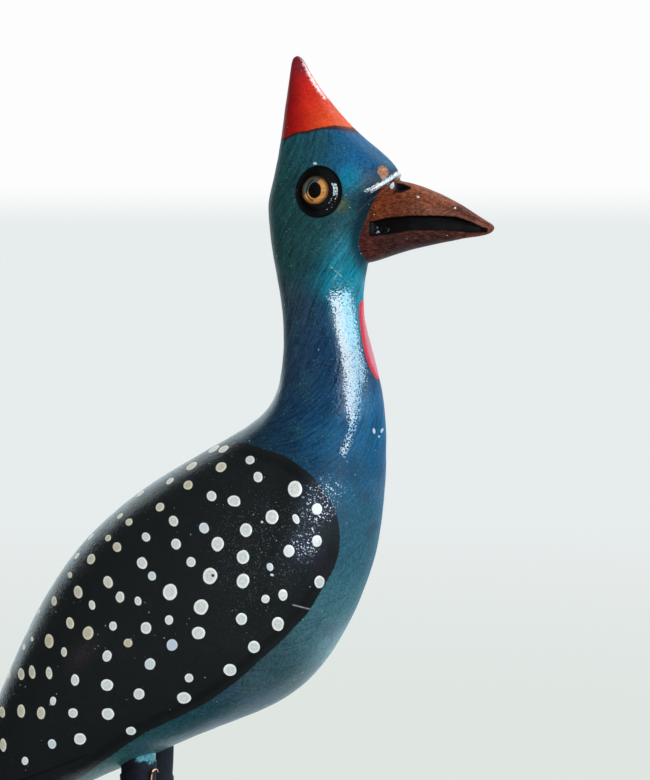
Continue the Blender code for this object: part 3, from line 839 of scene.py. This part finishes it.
def make_leg_mesh(side):
    hip_x, hip_z = leg_frame(side)
    thigh_end = hip_z - THIGH_LENGTH
    hip_y, foot_y = HIP_SPACING / 2, FOOT_SPACING / 2
    (knee_height, knee_out), (ankle_height, ankle_out) = KNEE_SHARES, ANKLE_SHARES
    knots = [
        (hip_x, hip_y, thigh_end),
        (hip_x - KNEE_SET_BACK, hip_y + (foot_y - hip_y) * knee_out, thigh_end * knee_height),
        (hip_x, hip_y + (foot_y - hip_y) * ankle_out, thigh_end * ankle_height),
        (hip_x + FOOT_SET_FORWARD, foot_y, TOE_DIAMETER / 2),
    ]
    bend = natural_spline(knots, np.linspace(0, len(knots) - 1, 150))
    top = hip_z + SOCKET_DEPTH - FIT_CLEARANCE
    thigh = [(hip_x, hip_y, height) for height in np.linspace(top, thigh_end, 70)[:-1]]
    path = np.array([*thigh, *bend, (*knots[-1][:2], TOE_DIAMETER / 4)]) * (1, side, 1)
    radii = np.interp(path[:, 2], [0, thigh_end], [ANKLE_DIAMETER / 2, LEG_DIAMETER / 2])
    lengths = path_lengths(path)
    rings = tube_rings(path, radii, LEG_SIDES, wrapping(lengths, *LEG_WRAPPING, 5 + side))
    shank = make_object("shank_form", outward(grid_mesh("shank_form", rings)))
    foot = path[-1]
    turn = side * FOOT_TURN_OUT
    toes = []
    for number, (heading, length) in enumerate((
        (turn - side * TOE_SPREAD, SIDE_TOE_LENGTH),
        (turn, FRONT_TOE_LENGTH),
        (turn + side * TOE_SPREAD, SIDE_TOE_LENGTH),
        (turn + math.pi, BACK_TOE_LENGTH),
    )):
        reach = length - TOE_TIP_DIAMETER / 2
        shares = np.linspace(-0.06, 1, 90)
        toe_radii = (TOE_DIAMETER + (TOE_TIP_DIAMETER - TOE_DIAMETER) * shares) / 2
        heights = toe_radii * (1 - TOE_SINK_SHARE)
        direction = np.array([math.cos(heading), math.sin(heading), 0])
        toe_path = np.array([foot[0], foot[1], 0]) + direction * (reach * shares)[:, None]
        toe_path[:, 2] = heights
        cap = np.sin(np.linspace(0, math.pi / 2, 12)[1:-1])
        end, radius = toe_path[-1], toe_radii[-1]
        toe_path = np.concatenate([toe_path, end + direction * (radius * cap)[:, None]])
        cap_radii = radius * np.sqrt(1 - cap**2)
        toe_radii = np.concatenate([toe_radii, cap_radii])
        wound = wrapping(path_lengths(toe_path), *TOE_WRAPPING, 11 + number)
        fade = np.concatenate([np.ones(len(shares)), np.linspace(0.9, 0.1, len(cap))])
        toe_rings = tube_rings(toe_path, toe_radii, TOE_SIDES, lambda i, angles: wound(i, angles) * fade[i])
        toe = outward(grid_mesh("toe_form", toe_rings, None, end + direction * radius))
        toes.append(make_object(f"toe_form_{number}", toe))
    mesh = combined(shank, toes)
    bpy.ops.mesh.primitive_cube_add(size=0.2, location=(0, 0, -0.1))
    ground = bpy.context.object
    mesh = combined(make_object("leg_form", mesh), [ground], "DIFFERENCE")
    u, _ = store_photo(mesh, coordinates(mesh))
    store(mesh, "side", np.full(len(u), float(side)))
    mesh.shade_smooth()
    mesh.set_sharp_from_angle(angle=math.radians(50))
    return mesh


def make_wire_mesh():
    side = -1
    hip_x, hip_z = leg_frame(side)
    hip_point = Vector((hip_x, side * HIP_SPACING / 2, hip_z))
    radius = LEG_DIAMETER / 2 + FIT_CLEARANCE + WIRE_DIAMETER / 2
    rise = WIRE_DIAMETER + FIT_CLEARANCE
    winding_bottom = hip_z - THIGH_LENGTH + WIRE_DIAMETER
    tail_angle = side * (math.pi / 2 - WIRE_ANGLE)
    points_a_turn = 48
    steps = WIRE_TURNS * points_a_turn
    path = []
    for k in range(steps + 1):
        angle = tail_angle + side * 2 * math.pi * (k - steps) / points_a_turn
        height = winding_bottom + rise * k / points_a_turn
        path.append(Vector((radius * math.cos(angle), radius * math.sin(angle), height)))
    outwards = Vector((math.cos(tail_angle), math.sin(tail_angle), 0))
    forwards = Vector((side * math.sin(tail_angle), -side * math.cos(tail_angle), 0))
    foot_of_tail = path[-1]
    tail_length = hip_z - WIRE_TOP_GAP - WIRE_HOOK_RADIUS - foot_of_tail.z
    for share in np.linspace(0.15, 1.0, 18):
        sway = 0.12 * MM * math.sin(share * 7)
        path.append(foot_of_tail + Vector((0, 0, tail_length * share)) + forwards * sway)
    hook_middle = path[-1] + forwards * WIRE_HOOK_RADIUS
    for angle in np.radians(np.linspace(160, 0, 12)):
        turn = forwards * math.cos(angle) + Vector((0, 0, math.sin(angle)))
        path.append(hook_middle + turn * WIRE_HOOK_RADIUS + outwards * FIT_CLEARANCE)
    path = np.array([p + Vector((hip_point.x, hip_point.y, 0)) for p in path])
    mesh = outward(grid_mesh("copper_wire", tube_rings(path, np.full(len(path), WIRE_DIAMETER / 2), WIRE_SIDES)))
    mesh.shade_smooth()
    return mesh


# ---- materials
class Nodes:
    """A node tree, written as sums of named steps."""

    def __init__(self, tree):
        self.tree = tree

    def node(self, kind, inputs=None, **settings):
        made = self.tree.nodes.new(kind)
        for name, value in settings.items():
            setattr(made, name, value)
        for name, value in (inputs or {}).items():
            self.put(made.inputs[name], value)
        return made

    def put(self, socket, value):
        if isinstance(value, bpy.types.NodeSocket):
            self.tree.links.new(value, socket)
        elif isinstance(value, tuple) and len(value) == 3 and socket.type == "RGBA":
            socket.default_value = (*value, 1)
        else:
            socket.default_value = value

    def math(self, operation, a, b=0.0):
        return self.node("ShaderNodeMath", {0: a, 1: b}, operation=operation).outputs[0]

    def sum(self, first, *others):
        for other in others:
            first = self.math("ADD", first, other)
        return first

    def times(self, first, *others):
        for other in others:
            first = self.math("MULTIPLY", first, other)
        return first

    def length(self, a, b):
        return self.math("SQRT", self.sum(self.times(a, a), self.times(b, b)))

    def rest(self, *shares):
        """What a product of shares leaves of one."""
        return self.math("SUBTRACT", 1.0, self.times(*shares))

    def mix(self, share, a, b, blend="MIX"):
        return self.node("ShaderNodeMix", {0: share, 6: a, 7: b}, data_type="RGBA", blend_type=blend).outputs[2]

    def tinted(self, colour, tint):
        return self.mix(1.0, colour, tint, "MULTIPLY")

    def coats(self, colour, *layers):
        """A colour with layers over it, each of them a share and a colour."""
        for share, layer in layers:
            colour = self.mix(share, colour, layer)
        return colour

    def step(self, value, low, high, to_low=0.0, to_high=1.0):
        ends = {"Value": value, "From Min": low, "From Max": high, "To Min": to_low, "To Max": to_high}
        return self.node("ShaderNodeMapRange", ends, interpolation_type="SMOOTHSTEP").outputs["Result"]

    def dot(self, vector, direction):
        return self.node("ShaderNodeVectorMath", {0: vector, 1: direction}, operation="DOT_PRODUCT").outputs["Value"]

    def scaled(self, vector, scale):
        return self.node("ShaderNodeMapping", {"Vector": vector, "Scale": scale}).outputs["Vector"]

    def noise(self, vector, scale, detail=3.0, roughness=0.5):
        values = {"Vector": vector, "Scale": scale, "Detail": detail, "Roughness": roughness}
        return self.node("ShaderNodeTexNoise", values).outputs["Fac"]


class Paint(Nodes):
    """A node material on one Principled shader."""

    def __init__(self, name):
        self.material = bpy.data.materials.new(name)
        self.material.use_nodes = True
        super().__init__(self.material.node_tree)
        self.shader = self.tree.nodes["Principled BSDF"]
        self.places = self.node("ShaderNodeTexCoord").outputs["Object"]
        self.mm = self.scaled(self.places, (1000, 1000, 1000))

    def value(self, name, output="Fac"):
        return self.node("ShaderNodeAttribute", attribute_name=name).outputs[output]

    def axes(self):
        return tuple(self.node("ShaderNodeSeparateXYZ", {0: self.places}).outputs)

    def specks(self, scale, size, share):
        """Small round specks, in a share of the cells that they could lie in."""
        cells = self.node("ShaderNodeTexVoronoi", {"Vector": self.mm, "Scale": scale})
        near = self.step(cells.outputs["Distance"], size * 0.5, size, 1.0, 0.0)
        chosen = self.node("ShaderNodeSeparateColor", {0: cells.outputs["Color"]})
        return self.times(near, self.math("LESS_THAN", chosen.outputs[0], share))

    def bump(self, height, distance):
        return self.node("ShaderNodeBump", {"Height": height, "Distance": distance}).outputs["Normal"]

    def glow(self, colour):
        return self.node("ShaderNodeEmission", {"Color": colour}).outputs[0]

    def show(self, shader):
        self.put(self.tree.nodes["Material Output"].inputs["Surface"], shader)

    def finish(self, colour, roughness, bump=None, **constants):
        self.put(self.shader.inputs["Base Color"], colour)
        self.put(self.shader.inputs["Roughness"], roughness)
        if bump is not None:
            self.put(self.shader.inputs["Normal"], bump)
        for name, value in constants.items():
            self.shader.inputs[name.replace("_", " ")].default_value = value
        return self.material


class BirdPaint(Paint):
    """The bird's material, with the noises and masks that its paints share."""

    def __init__(self):
        super().__init__("painted_wood")
        self.flow = self.value("flow", "Vector")
        self.u, self.v = self.value("photo_u"), self.value("photo_v")
        self.beak, self.painted_glints = self.value("beak"), self.value("painted_glints")
        self.fine = self.noise(self.scaled(self.flow, (2.8, 2.8, 0.26)), 1.0, 3, 0.65)
        self.streaks = self.noise(self.scaled(self.places, (800, 1800, 2400)), 1.0, 3, 0.7)
        self.cloud = self.noise(self.mm, 0.22, 4, 0.6)
        self.grain = self.noise(self.mm, 3.2, 2, 0.6)
        self.mottle = self.noise(self.mm, 1.3, 4, 0.7)
        self.dust = self.step(self.noise(self.mm, 2.3, 1.5, 0.6), 0.62, 0.68)
        self.edge_noise = self.times(self.math("SUBTRACT", self.noise(self.mm, 1.1, 3, 0.6), 0.5), 3.0)

    def line(self, slope, height, first, last, width):
        """A thin straight line on the photograph, between two pixels across."""
        away = self.math("ABSOLUTE", self.sum(self.v, self.times(self.u, slope), -height))
        length = self.times(self.step(self.u, first, first + 3), self.step(self.u, last, last - 3))
        return self.times(self.step(away, width, width * 0.4), length)

    def mask(self, name, softness=0.6, wobble=1.0):
        """A stored region, with an edge as uneven as a brush leaves it."""
        return self.step(self.sum(self.value(name), self.times(self.edge_noise, wobble)), -softness, softness)


def blue_paint(p):
    """Tones of blue in long strokes, with clouds, dust, two scratches and a dark band behind the beak."""
    wide = p.noise(p.scaled(p.flow, (0.7, 0.7, 0.12)), 1.0, 4, 0.65)
    hatch = p.noise(p.scaled(p.flow, (3.4, 3.4, 0.12)), 1.0, 2, 0.5)
    low = p.step(p.v, 400, 520)
    brow = p.times(p.step(p.v, 262, 200), p.step(p.u, 300, 330))
    strokes = p.sum(
        p.step(wide, 0.3, 0.7, -0.18, 0.16),
        p.step(p.fine, 0.35, 0.65, -0.26, 0.24),
        p.step(hatch, 0.52, 0.60, 0.07, -0.36))
    strokes = p.times(strokes, p.rest(low, 0.7), p.rest(brow, 0.6))
    blotches = p.times(p.step(p.mottle, 0.3, 0.7, -0.16, 0.16), p.sum(1.0, p.times(low, 0.9), p.times(brow, 0.9)))
    shade = p.sum(1.0, strokes, blotches, p.step(p.grain, 0.3, 0.7, -0.20, 0.20))
    patches = p.times(p.step(p.noise(p.mm, 0.11, 3, 0.6), 0.48, 0.66), p.step(p.v, 440, 480), 0.4)
    scratches = p.math("MAXIMUM", p.line(-0.87, -21, 328, 347, 1.3), p.line(1.375, 738, 332, 343, 1.5))
    band = p.times(p.step(p.sum(p.beak, p.times(p.edge_noise, 1.5)), -15, -4), p.step(p.beak, 3, -1))
    return p.coats(
        p.tinted(p.value("paint", "Color"), shade),
        (p.step(p.cloud, 0.52, 0.72, 0, 0.25), srgb(34, 96, 88)),
        (p.step(p.mottle, 0.58, 0.75, 0, 0.25), srgb(40, 110, 120)),
        (patches, srgb(52, 72, 104)),
        (p.times(p.dust, p.step(p.cloud, 0.4, 0.6, 0.0, 0.22)), srgb(130, 170, 184)),
        (p.times(scratches, p.step(p.mottle, 0.4, 0.55), 0.6), srgb(150, 215, 225)),
        (p.times(band, p.step(p.v, 160, 172), 0.78), srgb(16, 32, 46)),
    )


def head_paint(p, colour):
    """Beak with painted shade under its lip, bare wood, wattle, crest with its dark base, mouth and nostrils over the
    blue.
    """
    accent = p.tinted(p.value("accent", "Color"), p.step(p.grain, 0.3, 0.7, 0.82, 1.16))
    accent = p.tinted(accent, p.sum(p.step(p.cloud, 0.3, 0.7, 0.90, 1.10), p.step(p.mottle, 0.3, 0.7, -0.14, 0.14)))
    horn = p.tinted(accent, p.step(p.streaks, 0.36, 0.64, 0.52, 1.52))
    horn = p.tinted(horn, p.step(p.noise(p.mm, 0.5, 3, 0.6), 0.3, 0.7, 0.72, 1.28))
    # painted shade: a dark strip in the fold under the raised lip, where the beak meets the face
    crease_shade = p.times(p.step(p.beak, -0.9, 0.2), p.step(p.beak, 2.0, 0.9), p.step(p.v, 204, 192))
    wood = p.mix(p.step(p.mottle, 0.35, 0.65), srgb(150, 92, 60), srgb(226, 168, 128))
    pink = p.mix(p.step(p.value("wattle"), 1.5, 5.5, 0.0, 0.8), srgb(255, 46, 76), srgb(255, 168, 188))
    crest = p.sum(p.value("crest"), p.times(p.edge_noise, 0.7))
    right = p.step(p.u, 318, 348)
    base = p.times(p.step(p.sum(crest, p.times(right, 2.4)), -2.2, -0.8), p.step(crest, 1.6, 0.2))
    return p.coats(
        colour,
        (p.mask("beak", 0.8, 0.8), horn),
        (p.times(crease_shade, 0.85), srgb(20, 13, 13)),
        (p.mask("bare", 0.8, 0.8), wood),
        (p.mask("wattle", 0.5, 0.3), p.tinted(pink, p.step(p.mottle, 0.3, 0.7, 0.88, 1.08))),
        (p.mask("crest", 0.5, 0.6), accent),
        (p.times(base, 0.9), p.mix(right, srgb(36, 22, 26), srgb(84, 40, 34))),
        (p.mask("mouth", 0.6, 0.3), srgb(7, 6, 7)),
        (p.step(p.value("nostril"), -1.6, -0.4), srgb(10, 9, 10)),
    )


def wing_paint(p):
    """Black, with brush marks along its edge, a smudge, a pale and a dark line, dust, and painted sheen at its front.
    """
    inside = p.value("wing")
    brush = p.times(p.step(inside, 3, 7), p.step(inside, 14, 10))
    return p.coats(
        srgb(23, 27, 28),
        (p.times(brush, 0.45, p.step(p.mottle, 0.3, 0.6, 0.6, 1.0)), srgb(8, 9, 10)),
        (p.step(p.cloud, 0.5, 0.75, 0, 0.35), srgb(34, 34, 40)),
        # a purplish smudge, and at the wing's front edge a painted sheen
        (p.times(p.value("smudge_and_sheen"), p.step(p.mottle, 0.3, 0.6), 0.8), srgb(50, 40, 45)),
        (p.times(p.line(-0.25, 531.6, 291, 313, 1.0), p.step(p.streaks, 0.3, 0.5)), srgb(160, 160, 176)),
        (p.times(p.line(0.382, 788.6, 10, 90, 1.3), 0.6), srgb(6, 7, 8)),
        # a bluish grey haze where the glints are painted: a painted sheen
        (p.times(p.painted_glints, p.step(p.mottle, 0.35, 0.6), 0.55), srgb(64, 80, 112)),
        # pale dust specks; on the wing's front, where they lie, partly a painted sheen
        (p.times(p.dust, p.value("dust_and_sheen")), srgb(130, 140, 156)),
    )


def eye_paint(p, colour):
    """The eye's black ring, amber iris with a teal corner and an outline, and pupil with an arc beside it."""
    x, _, z = p.axes()
    across = p.math("SUBTRACT", x, EYE_CENTRE_PARTS[0] * GRID_X)
    upwards = p.math("SUBTRACT", z, EYE_CENTRE_PARTS[1] * GRID_Z)
    rim = p.length(p.math("DIVIDE", across, EYE_RING_WIDTH / 2), p.math("DIVIDE", upwards, EYE_RING_HEIGHT / 2))
    ring = p.times(p.step(rim, 1.02, 0.97), p.step(p.v, 240, 236))
    iris_x = p.sum(across, 0.8 * MM)
    iris_z = p.math("SUBTRACT", upwards, 0.4 * MM)
    iris = p.sum(p.length(iris_x, iris_z), p.times(p.edge_noise, 0.04 * MM))
    iris_line = p.times(p.step(iris, 2.8 * MM, 3.2 * MM), p.step(iris, 3.7 * MM, 3.4 * MM), ring, 0.75)
    wood = p.noise(p.scaled(p.places, (300, 300, 2200)), 1.0, 3, 0.6)
    amber = p.mix(p.step(wood, 0.35, 0.65), srgb(196, 128, 62), srgb(222, 164, 98))
    slant = p.sum(p.math("SUBTRACT", iris_z, iris_x), p.times(p.edge_noise, 0.5 * MM))
    amber = p.mix(p.step(slant, 1.0 * MM, 1.9 * MM, 0, 0.9), amber, srgb(20, 84, 88))
    pupil = p.length(p.sum(iris_x, 0.05 * MM), p.math("DIVIDE", iris_z, 1.2))
    pupil = p.sum(pupil, p.times(p.edge_noise, 0.12 * MM))
    arc = p.times(p.step(pupil, 1.9 * MM, 2.1 * MM), p.step(pupil, 2.5 * MM, 2.3 * MM))
    arc = p.times(arc, p.step(iris_x, 0.2 * MM, -0.8 * MM), ring, 0.85)
    return p.coats(
        colour,
        (ring, srgb(12, 12, 13)),
        (p.times(p.step(iris, 3.6 * MM, 3.3 * MM), ring), amber),
        (iris_line, srgb(70, 40, 22)),
        (arc, srgb(40, 24, 16)),
        (p.times(p.step(pupil, 1.85 * MM, 1.6 * MM), ring), srgb(13, 11, 10)),
    )


def painted_wood():
    p = BirdPaint()
    colour = p.mix(p.mask("wing", 0.7, 0.9), head_paint(p, blue_paint(p)), wing_paint(p))
    specks = p.math("MAXIMUM", p.specks(0.5, 0.10, 0.12), p.specks(1.1, 0.14, 0.035))
    # bright: white glints painted where the glint spots lie, on the wing's front and at the mouth's corner; they also
    # get full varnish
    bright = p.math("MAXIMUM", p.specks(1.7, 0.40, 0.5), p.step(p.noise(p.mm, 2.0, 1.5, 0.6), 0.62, 0.66))
    bright = p.times(bright, p.step(p.sum(p.painted_glints, p.noise(p.mm, 0.8, 2)), 0.78, 1.15))
    specks = p.math("MAXIMUM", p.times(specks, 0.75), bright)
    # lip: a white streak painted along the raised lip over the nostril, a painted highlight beside its real varnish
    lip = p.times(p.line(0.656, 434.6, 369, 402, 2.6), p.step(p.mottle, 0.36, 0.46), 0.85)
    colour = p.coats(eye_paint(p, colour), (specks, srgb(214, 226, 246)), (lip, srgb(232, 238, 242)))
    # the varnish: ripples, pits, holes low on the neck, and thick patches
    hollow = p.math("MAXIMUM", p.mask("mouth", 1.5, 0.3), p.step(p.value("nostril"), -2, -1))
    speckle = p.math("SUBTRACT", p.noise(p.mm, 2.0, 1.5, 0.6), 0.5)
    thick = p.step(p.sum(p.value("thick"), p.times(speckle, 4.5)), -0.2, 0.2)
    sparse = p.step(p.sum(p.u, p.times(p.v, -0.12)), 308, 317, 0.0, 0.55)
    holes = p.step(p.noise(p.mm, 1.8, 1.5, 0.6), 0.50, 0.56)
    pits = p.times(p.step(speckle, 0.11, 0.16, 1.0, 0.25), p.rest(sparse, holes))
    gloss = p.times(p.math("MAXIMUM", p.value("gloss"), thick), pits, p.rest(hollow, 0.9))
    p.put(p.shader.inputs["Coat Weight"], p.math("MAXIMUM", gloss, bright))
    ripple = p.sum(p.noise(p.mm, 1.5, 1, 0.5), p.times(specks, 0.5))
    p.put(p.shader.inputs["Coat Normal"], p.bump(ripple, 0.13 * MM))
    height = p.sum(p.noise(p.mm, 1.6, 3, 0.55), p.times(p.fine, 0.6), p.times(specks, 1.6))
    roughness = p.step(p.grain, 0.3, 0.7, 0.42, 0.56)
    bump = p.bump(height, 0.06 * MM)
    return p.finish(colour, roughness, bump, Specular_IOR_Level=0.03, Coat_Roughness=0.05, Coat_IOR=1.8)


def dot_paint():
    p = Paint("dot_paint")
    grain = p.noise(p.mm, 2.4, 3, 0.6)
    tone, edge = p.value("tone"), p.value("edge")
    cool = p.step(tone, 0, 0.6)
    body = p.mix(cool, srgb(206, 198, 168), srgb(228, 236, 234))
    ring = p.times(p.step(edge, 0.25, 0.5), p.step(edge, 0.8, 0.55), 0.2)
    rim = p.times(p.step(edge, 0.5, 0.85), 0.85)
    body = p.coats(
        p.tinted(body, p.step(grain, 0.3, 0.7, 0.80, 1.06)),
        (ring, srgb(196, 200, 196)),
        (rim, p.mix(cool, srgb(232, 224, 198), srgb(255, 255, 255))),
        # the palest dots turn bluish white, and so do the white drops, where that white is a painted glint
        (p.step(tone, 0.82, 1.0, 0.0, 0.8), srgb(192, 212, 232)),
        (p.step(tone, -0.4, -0.6), srgb(16, 15, 16)),
    )
    return p.finish(body, 0.35, p.bump(grain, 0.03 * MM), Specular_IOR_Level=0.6)


def leg_fabric():
    p = Paint("leg_wrapping")
    grain = p.noise(p.mm, 2.2, 5, 0.7)
    wave = p.noise(p.mm, 0.35, 3, 0.6)
    colour = p.mix(p.step(grain, 0.3, 0.75), srgb(7, 7, 12), srgb(24, 24, 38))
    colour = p.mix(p.step(wave, 0.45, 0.7, 0, 0.6), colour, srgb(16, 22, 46))
    torn = p.sum(p.value("photo_v"), p.times(p.math("SUBTRACT", p.noise(p.mm, 0.7, 4, 0.6), 0.5), 22))
    u = p.value("photo_u")
    lap = p.times(
        p.step(torn, 763, 760), p.step(p.value("side"), 0.5, -0.5), p.step(u, 134, 139), p.step(u, 160, 157))
    cyan = p.mix(p.step(grain, 0.35, 0.7), srgb(40, 140, 170), srgb(140, 214, 226))
    colour = p.mix(lap, colour, cyan)
    roughness = p.math("SUBTRACT", 0.72, p.times(lap, 0.5))
    bump = p.bump(p.sum(p.noise(p.mm, 3.4, 4, 0.7), p.times(wave, 2)), 0.10 * MM)
    return p.finish(colour, roughness, bump, Specular_IOR_Level=0.12, Sheen_Weight=0.03, Sheen_Roughness=0.4)


def copper():
    p = Paint("copper")
    tarnish = p.noise(p.mm, 1.3, 4, 0.6)
    colour = p.mix(p.step(tarnish, 0.4, 0.7), (0.52, 0.26, 0.17), (0.26, 0.12, 0.08))
    return p.finish(colour, p.step(tarnish, 0.3, 0.7, 0.22, 0.5), p.bump(tarnish, 0.02 * MM), Metallic=1.0)


# ---- the stage
# What the varnish mirrors: a bright room behind the bird and a dark one behind the camera
LIGHT_MIDDLE = Vector((0.03, 0, 0.19))
ROOM_BRIGHT_TURN, ROOM_BRIGHT_RISE = 165, -4
ROOM_DARK, ROOM_BRIGHT = 0.04, 1.4
ROOM_EDGE = (0.36, 0.62)
ROOM_COLOUR = (0.80, 0.95, 1.0, 1)
# Lights: name, degrees to the right of the camera, lowest and highest degrees up, degrees wide, distance, colour,
# how bright the varnish mirrors it and how brightly it lights the paint
LIGHTS = [
    ("window_left", 35, -12, 40, 34, 1.0, (0.86, 0.96, 1.0), 9.5, 5.0),
    ("window_right", 74, -12, 36, 44, 1.0, (0.56, 0.86, 1.0), 9.0, 2.4),
    ("high_window", 120, 26, 62, 36, 1.2, (1.0, 0.98, 0.98), 6.0, 2.4),
    ("front_fill", -20, 15, 60, 80, 1.4, (1.0, 1.0, 1.0), 0.0, 1.35),
]
CEILING = (1.6, 1.5, 1.5)
FLOOR_NEAR, FLOOR_FAR = 0.05, 0.26
BACKDROP_RADIUS = 11.5
# How high up on the backdrop the far floor's grey turns to white
HAZE_LOW, HAZE_HIGH = -0.03, 0.20
FAR_GREY = srgb(231, 236, 236)


def from_camera(turn, rise):
    """A direction so many degrees to the right of the camera and up."""
    angle = math.atan2(TOWARDS_CAMERA.y, TOWARDS_CAMERA.x) + math.radians(turn)
    up = math.radians(rise)
    return Vector((math.cos(angle) * math.cos(up), math.sin(angle) * math.cos(up), math.sin(up)))


def area_light(name, place, towards, size, colour, brightness, mirrored):
    """A soft rectangular light that either the varnish mirrors or the paint is lit by."""
    data = bpy.data.lights.new(name, "AREA")
    data.shape = "RECTANGLE"
    data.size, data.size_y = size
    data.color = colour
    data.energy = brightness * math.pi * size[0] * size[1]
    light = bpy.data.objects.new(name, data)
    light.location = place
    light.rotation_euler = (towards - place).to_track_quat("-Z", "Y").to_euler()
    light.visible_camera = False
    light.visible_glossy = mirrored
    light.visible_diffuse = not mirrored
    bpy.context.scene.collection.objects.link(light)


def make_lights():
    for name, turn, low, high, wide, distance, colour, shine, light in LIGHTS:
        if low < 20:
            bottom, top = (distance * math.tan(math.radians(a)) for a in (low, high))
            place = LIGHT_MIDDLE + from_camera(turn, 0) * distance + Vector((0, 0, (bottom + top) / 2))
            towards = Vector((LIGHT_MIDDLE.x, LIGHT_MIDDLE.y, place.z))
            height = top - bottom
        else:
            place = LIGHT_MIDDLE + from_camera(turn, (low + high) / 2) * distance
            towards = LIGHT_MIDDLE
            height = 2 * distance * math.tan(math.radians(high - low) / 2)
        size = (2 * distance * math.tan(math.radians(wide) / 2), height)
        if shine:
            area_light(f"{name}_shine", place, towards, size, colour, shine, True)
        area_light(f"{name}_light", place, towards, size, (1, 1, 1), light, False)
    height, width, brightness = CEILING
    place = LIGHT_MIDDLE + Vector((0, 0, height))
    area_light("ceiling", place, LIGHT_MIDDLE, (width, width), (1, 1, 1), brightness, False)


def make_world():
    world = bpy.data.worlds.new("world")
    world.use_nodes = True
    bpy.context.scene.world = world
    n = Nodes(world.node_tree)
    direction = n.node("ShaderNodeTexCoord").outputs["Generated"]
    behind = n.dot(direction, from_camera(ROOM_BRIGHT_TURN, ROOM_BRIGHT_RISE))
    strength = n.step(behind, *ROOM_EDGE, ROOM_DARK, ROOM_BRIGHT)
    background = world.node_tree.nodes["Background"]
    background.inputs["Color"].default_value = ROOM_COLOUR
    n.put(background.inputs["Strength"], strength)


def make_stage():
    bpy.ops.mesh.primitive_grid_add(x_subdivisions=4, y_subdivisions=4, size=2 * BACKDROP_RADIUS + 1)
    floor = bpy.context.object
    floor.name = "floor"
    p = Paint("floor")
    x, y, _ = p.axes()
    distance = p.length(x, y)
    p.finish(srgb(232, 237, 236), 0.9, Specular_IOR_Level=0.1)
    glow = p.glow(p.mix(p.step(distance, 0.3, 1.0), srgb(223, 229, 225), FAR_GREY))
    far = p.step(distance, FLOOR_NEAR, FLOOR_FAR)
    p.show(p.node("ShaderNodeMixShader", {0: far, 1: p.shader.outputs[0], 2: glow}).outputs[0])
    floor.data.materials.append(p.material)
    floor.visible_glossy = False
    bpy.ops.mesh.primitive_uv_sphere_add(segments=32, ring_count=16, radius=BACKDROP_RADIUS)
    backdrop = bpy.context.object
    backdrop.name = "backdrop"
    p = Paint("backdrop")
    _, _, z = p.axes()
    p.show(p.glow(p.mix(p.step(z, HAZE_LOW, HAZE_HIGH), FAR_GREY, srgb(253, 253, 253))))
    backdrop.data.materials.append(p.material)
    for kind in ("diffuse", "glossy", "transmission", "volume_scatter", "shadow"):
        setattr(backdrop, f"visible_{kind}", False)
    bpy.context.scene.view_settings.view_transform = "Standard"


make_camera()
mesh, points, along, turn = make_bird_mesh()
paint_bird(mesh, points, along, turn)
set_coordinates(mesh, carved(mesh, points))
mesh.shade_smooth()
mesh.materials.clear()
mesh.materials.append(painted_wood())
bird = make_object("painted_bird", mesh)
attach(bird, "root")
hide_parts("carved_bird")
dots = make_object("painted_dots", make_dots(surface_tree(mesh)))
dots.data.materials.append(dot_paint())
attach(dots, "root")
fabric = leg_fabric()
for name, side in (("left", 1), ("right", -1)):
    leg_mesh = make_leg_mesh(side)
    leg_mesh.materials.clear()
    leg_mesh.materials.append(fabric)
    leg = make_object(f"{name}_wrapped_leg", leg_mesh)
    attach(leg, "root")
    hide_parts(f"{name}_leg")
wire_mesh = make_wire_mesh()
wire_mesh.materials.append(copper())
wire = make_object("copper_wire", wire_mesh)
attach(wire, "root")
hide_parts("right_leg_wire")
make_world()
make_lights()
make_stage()
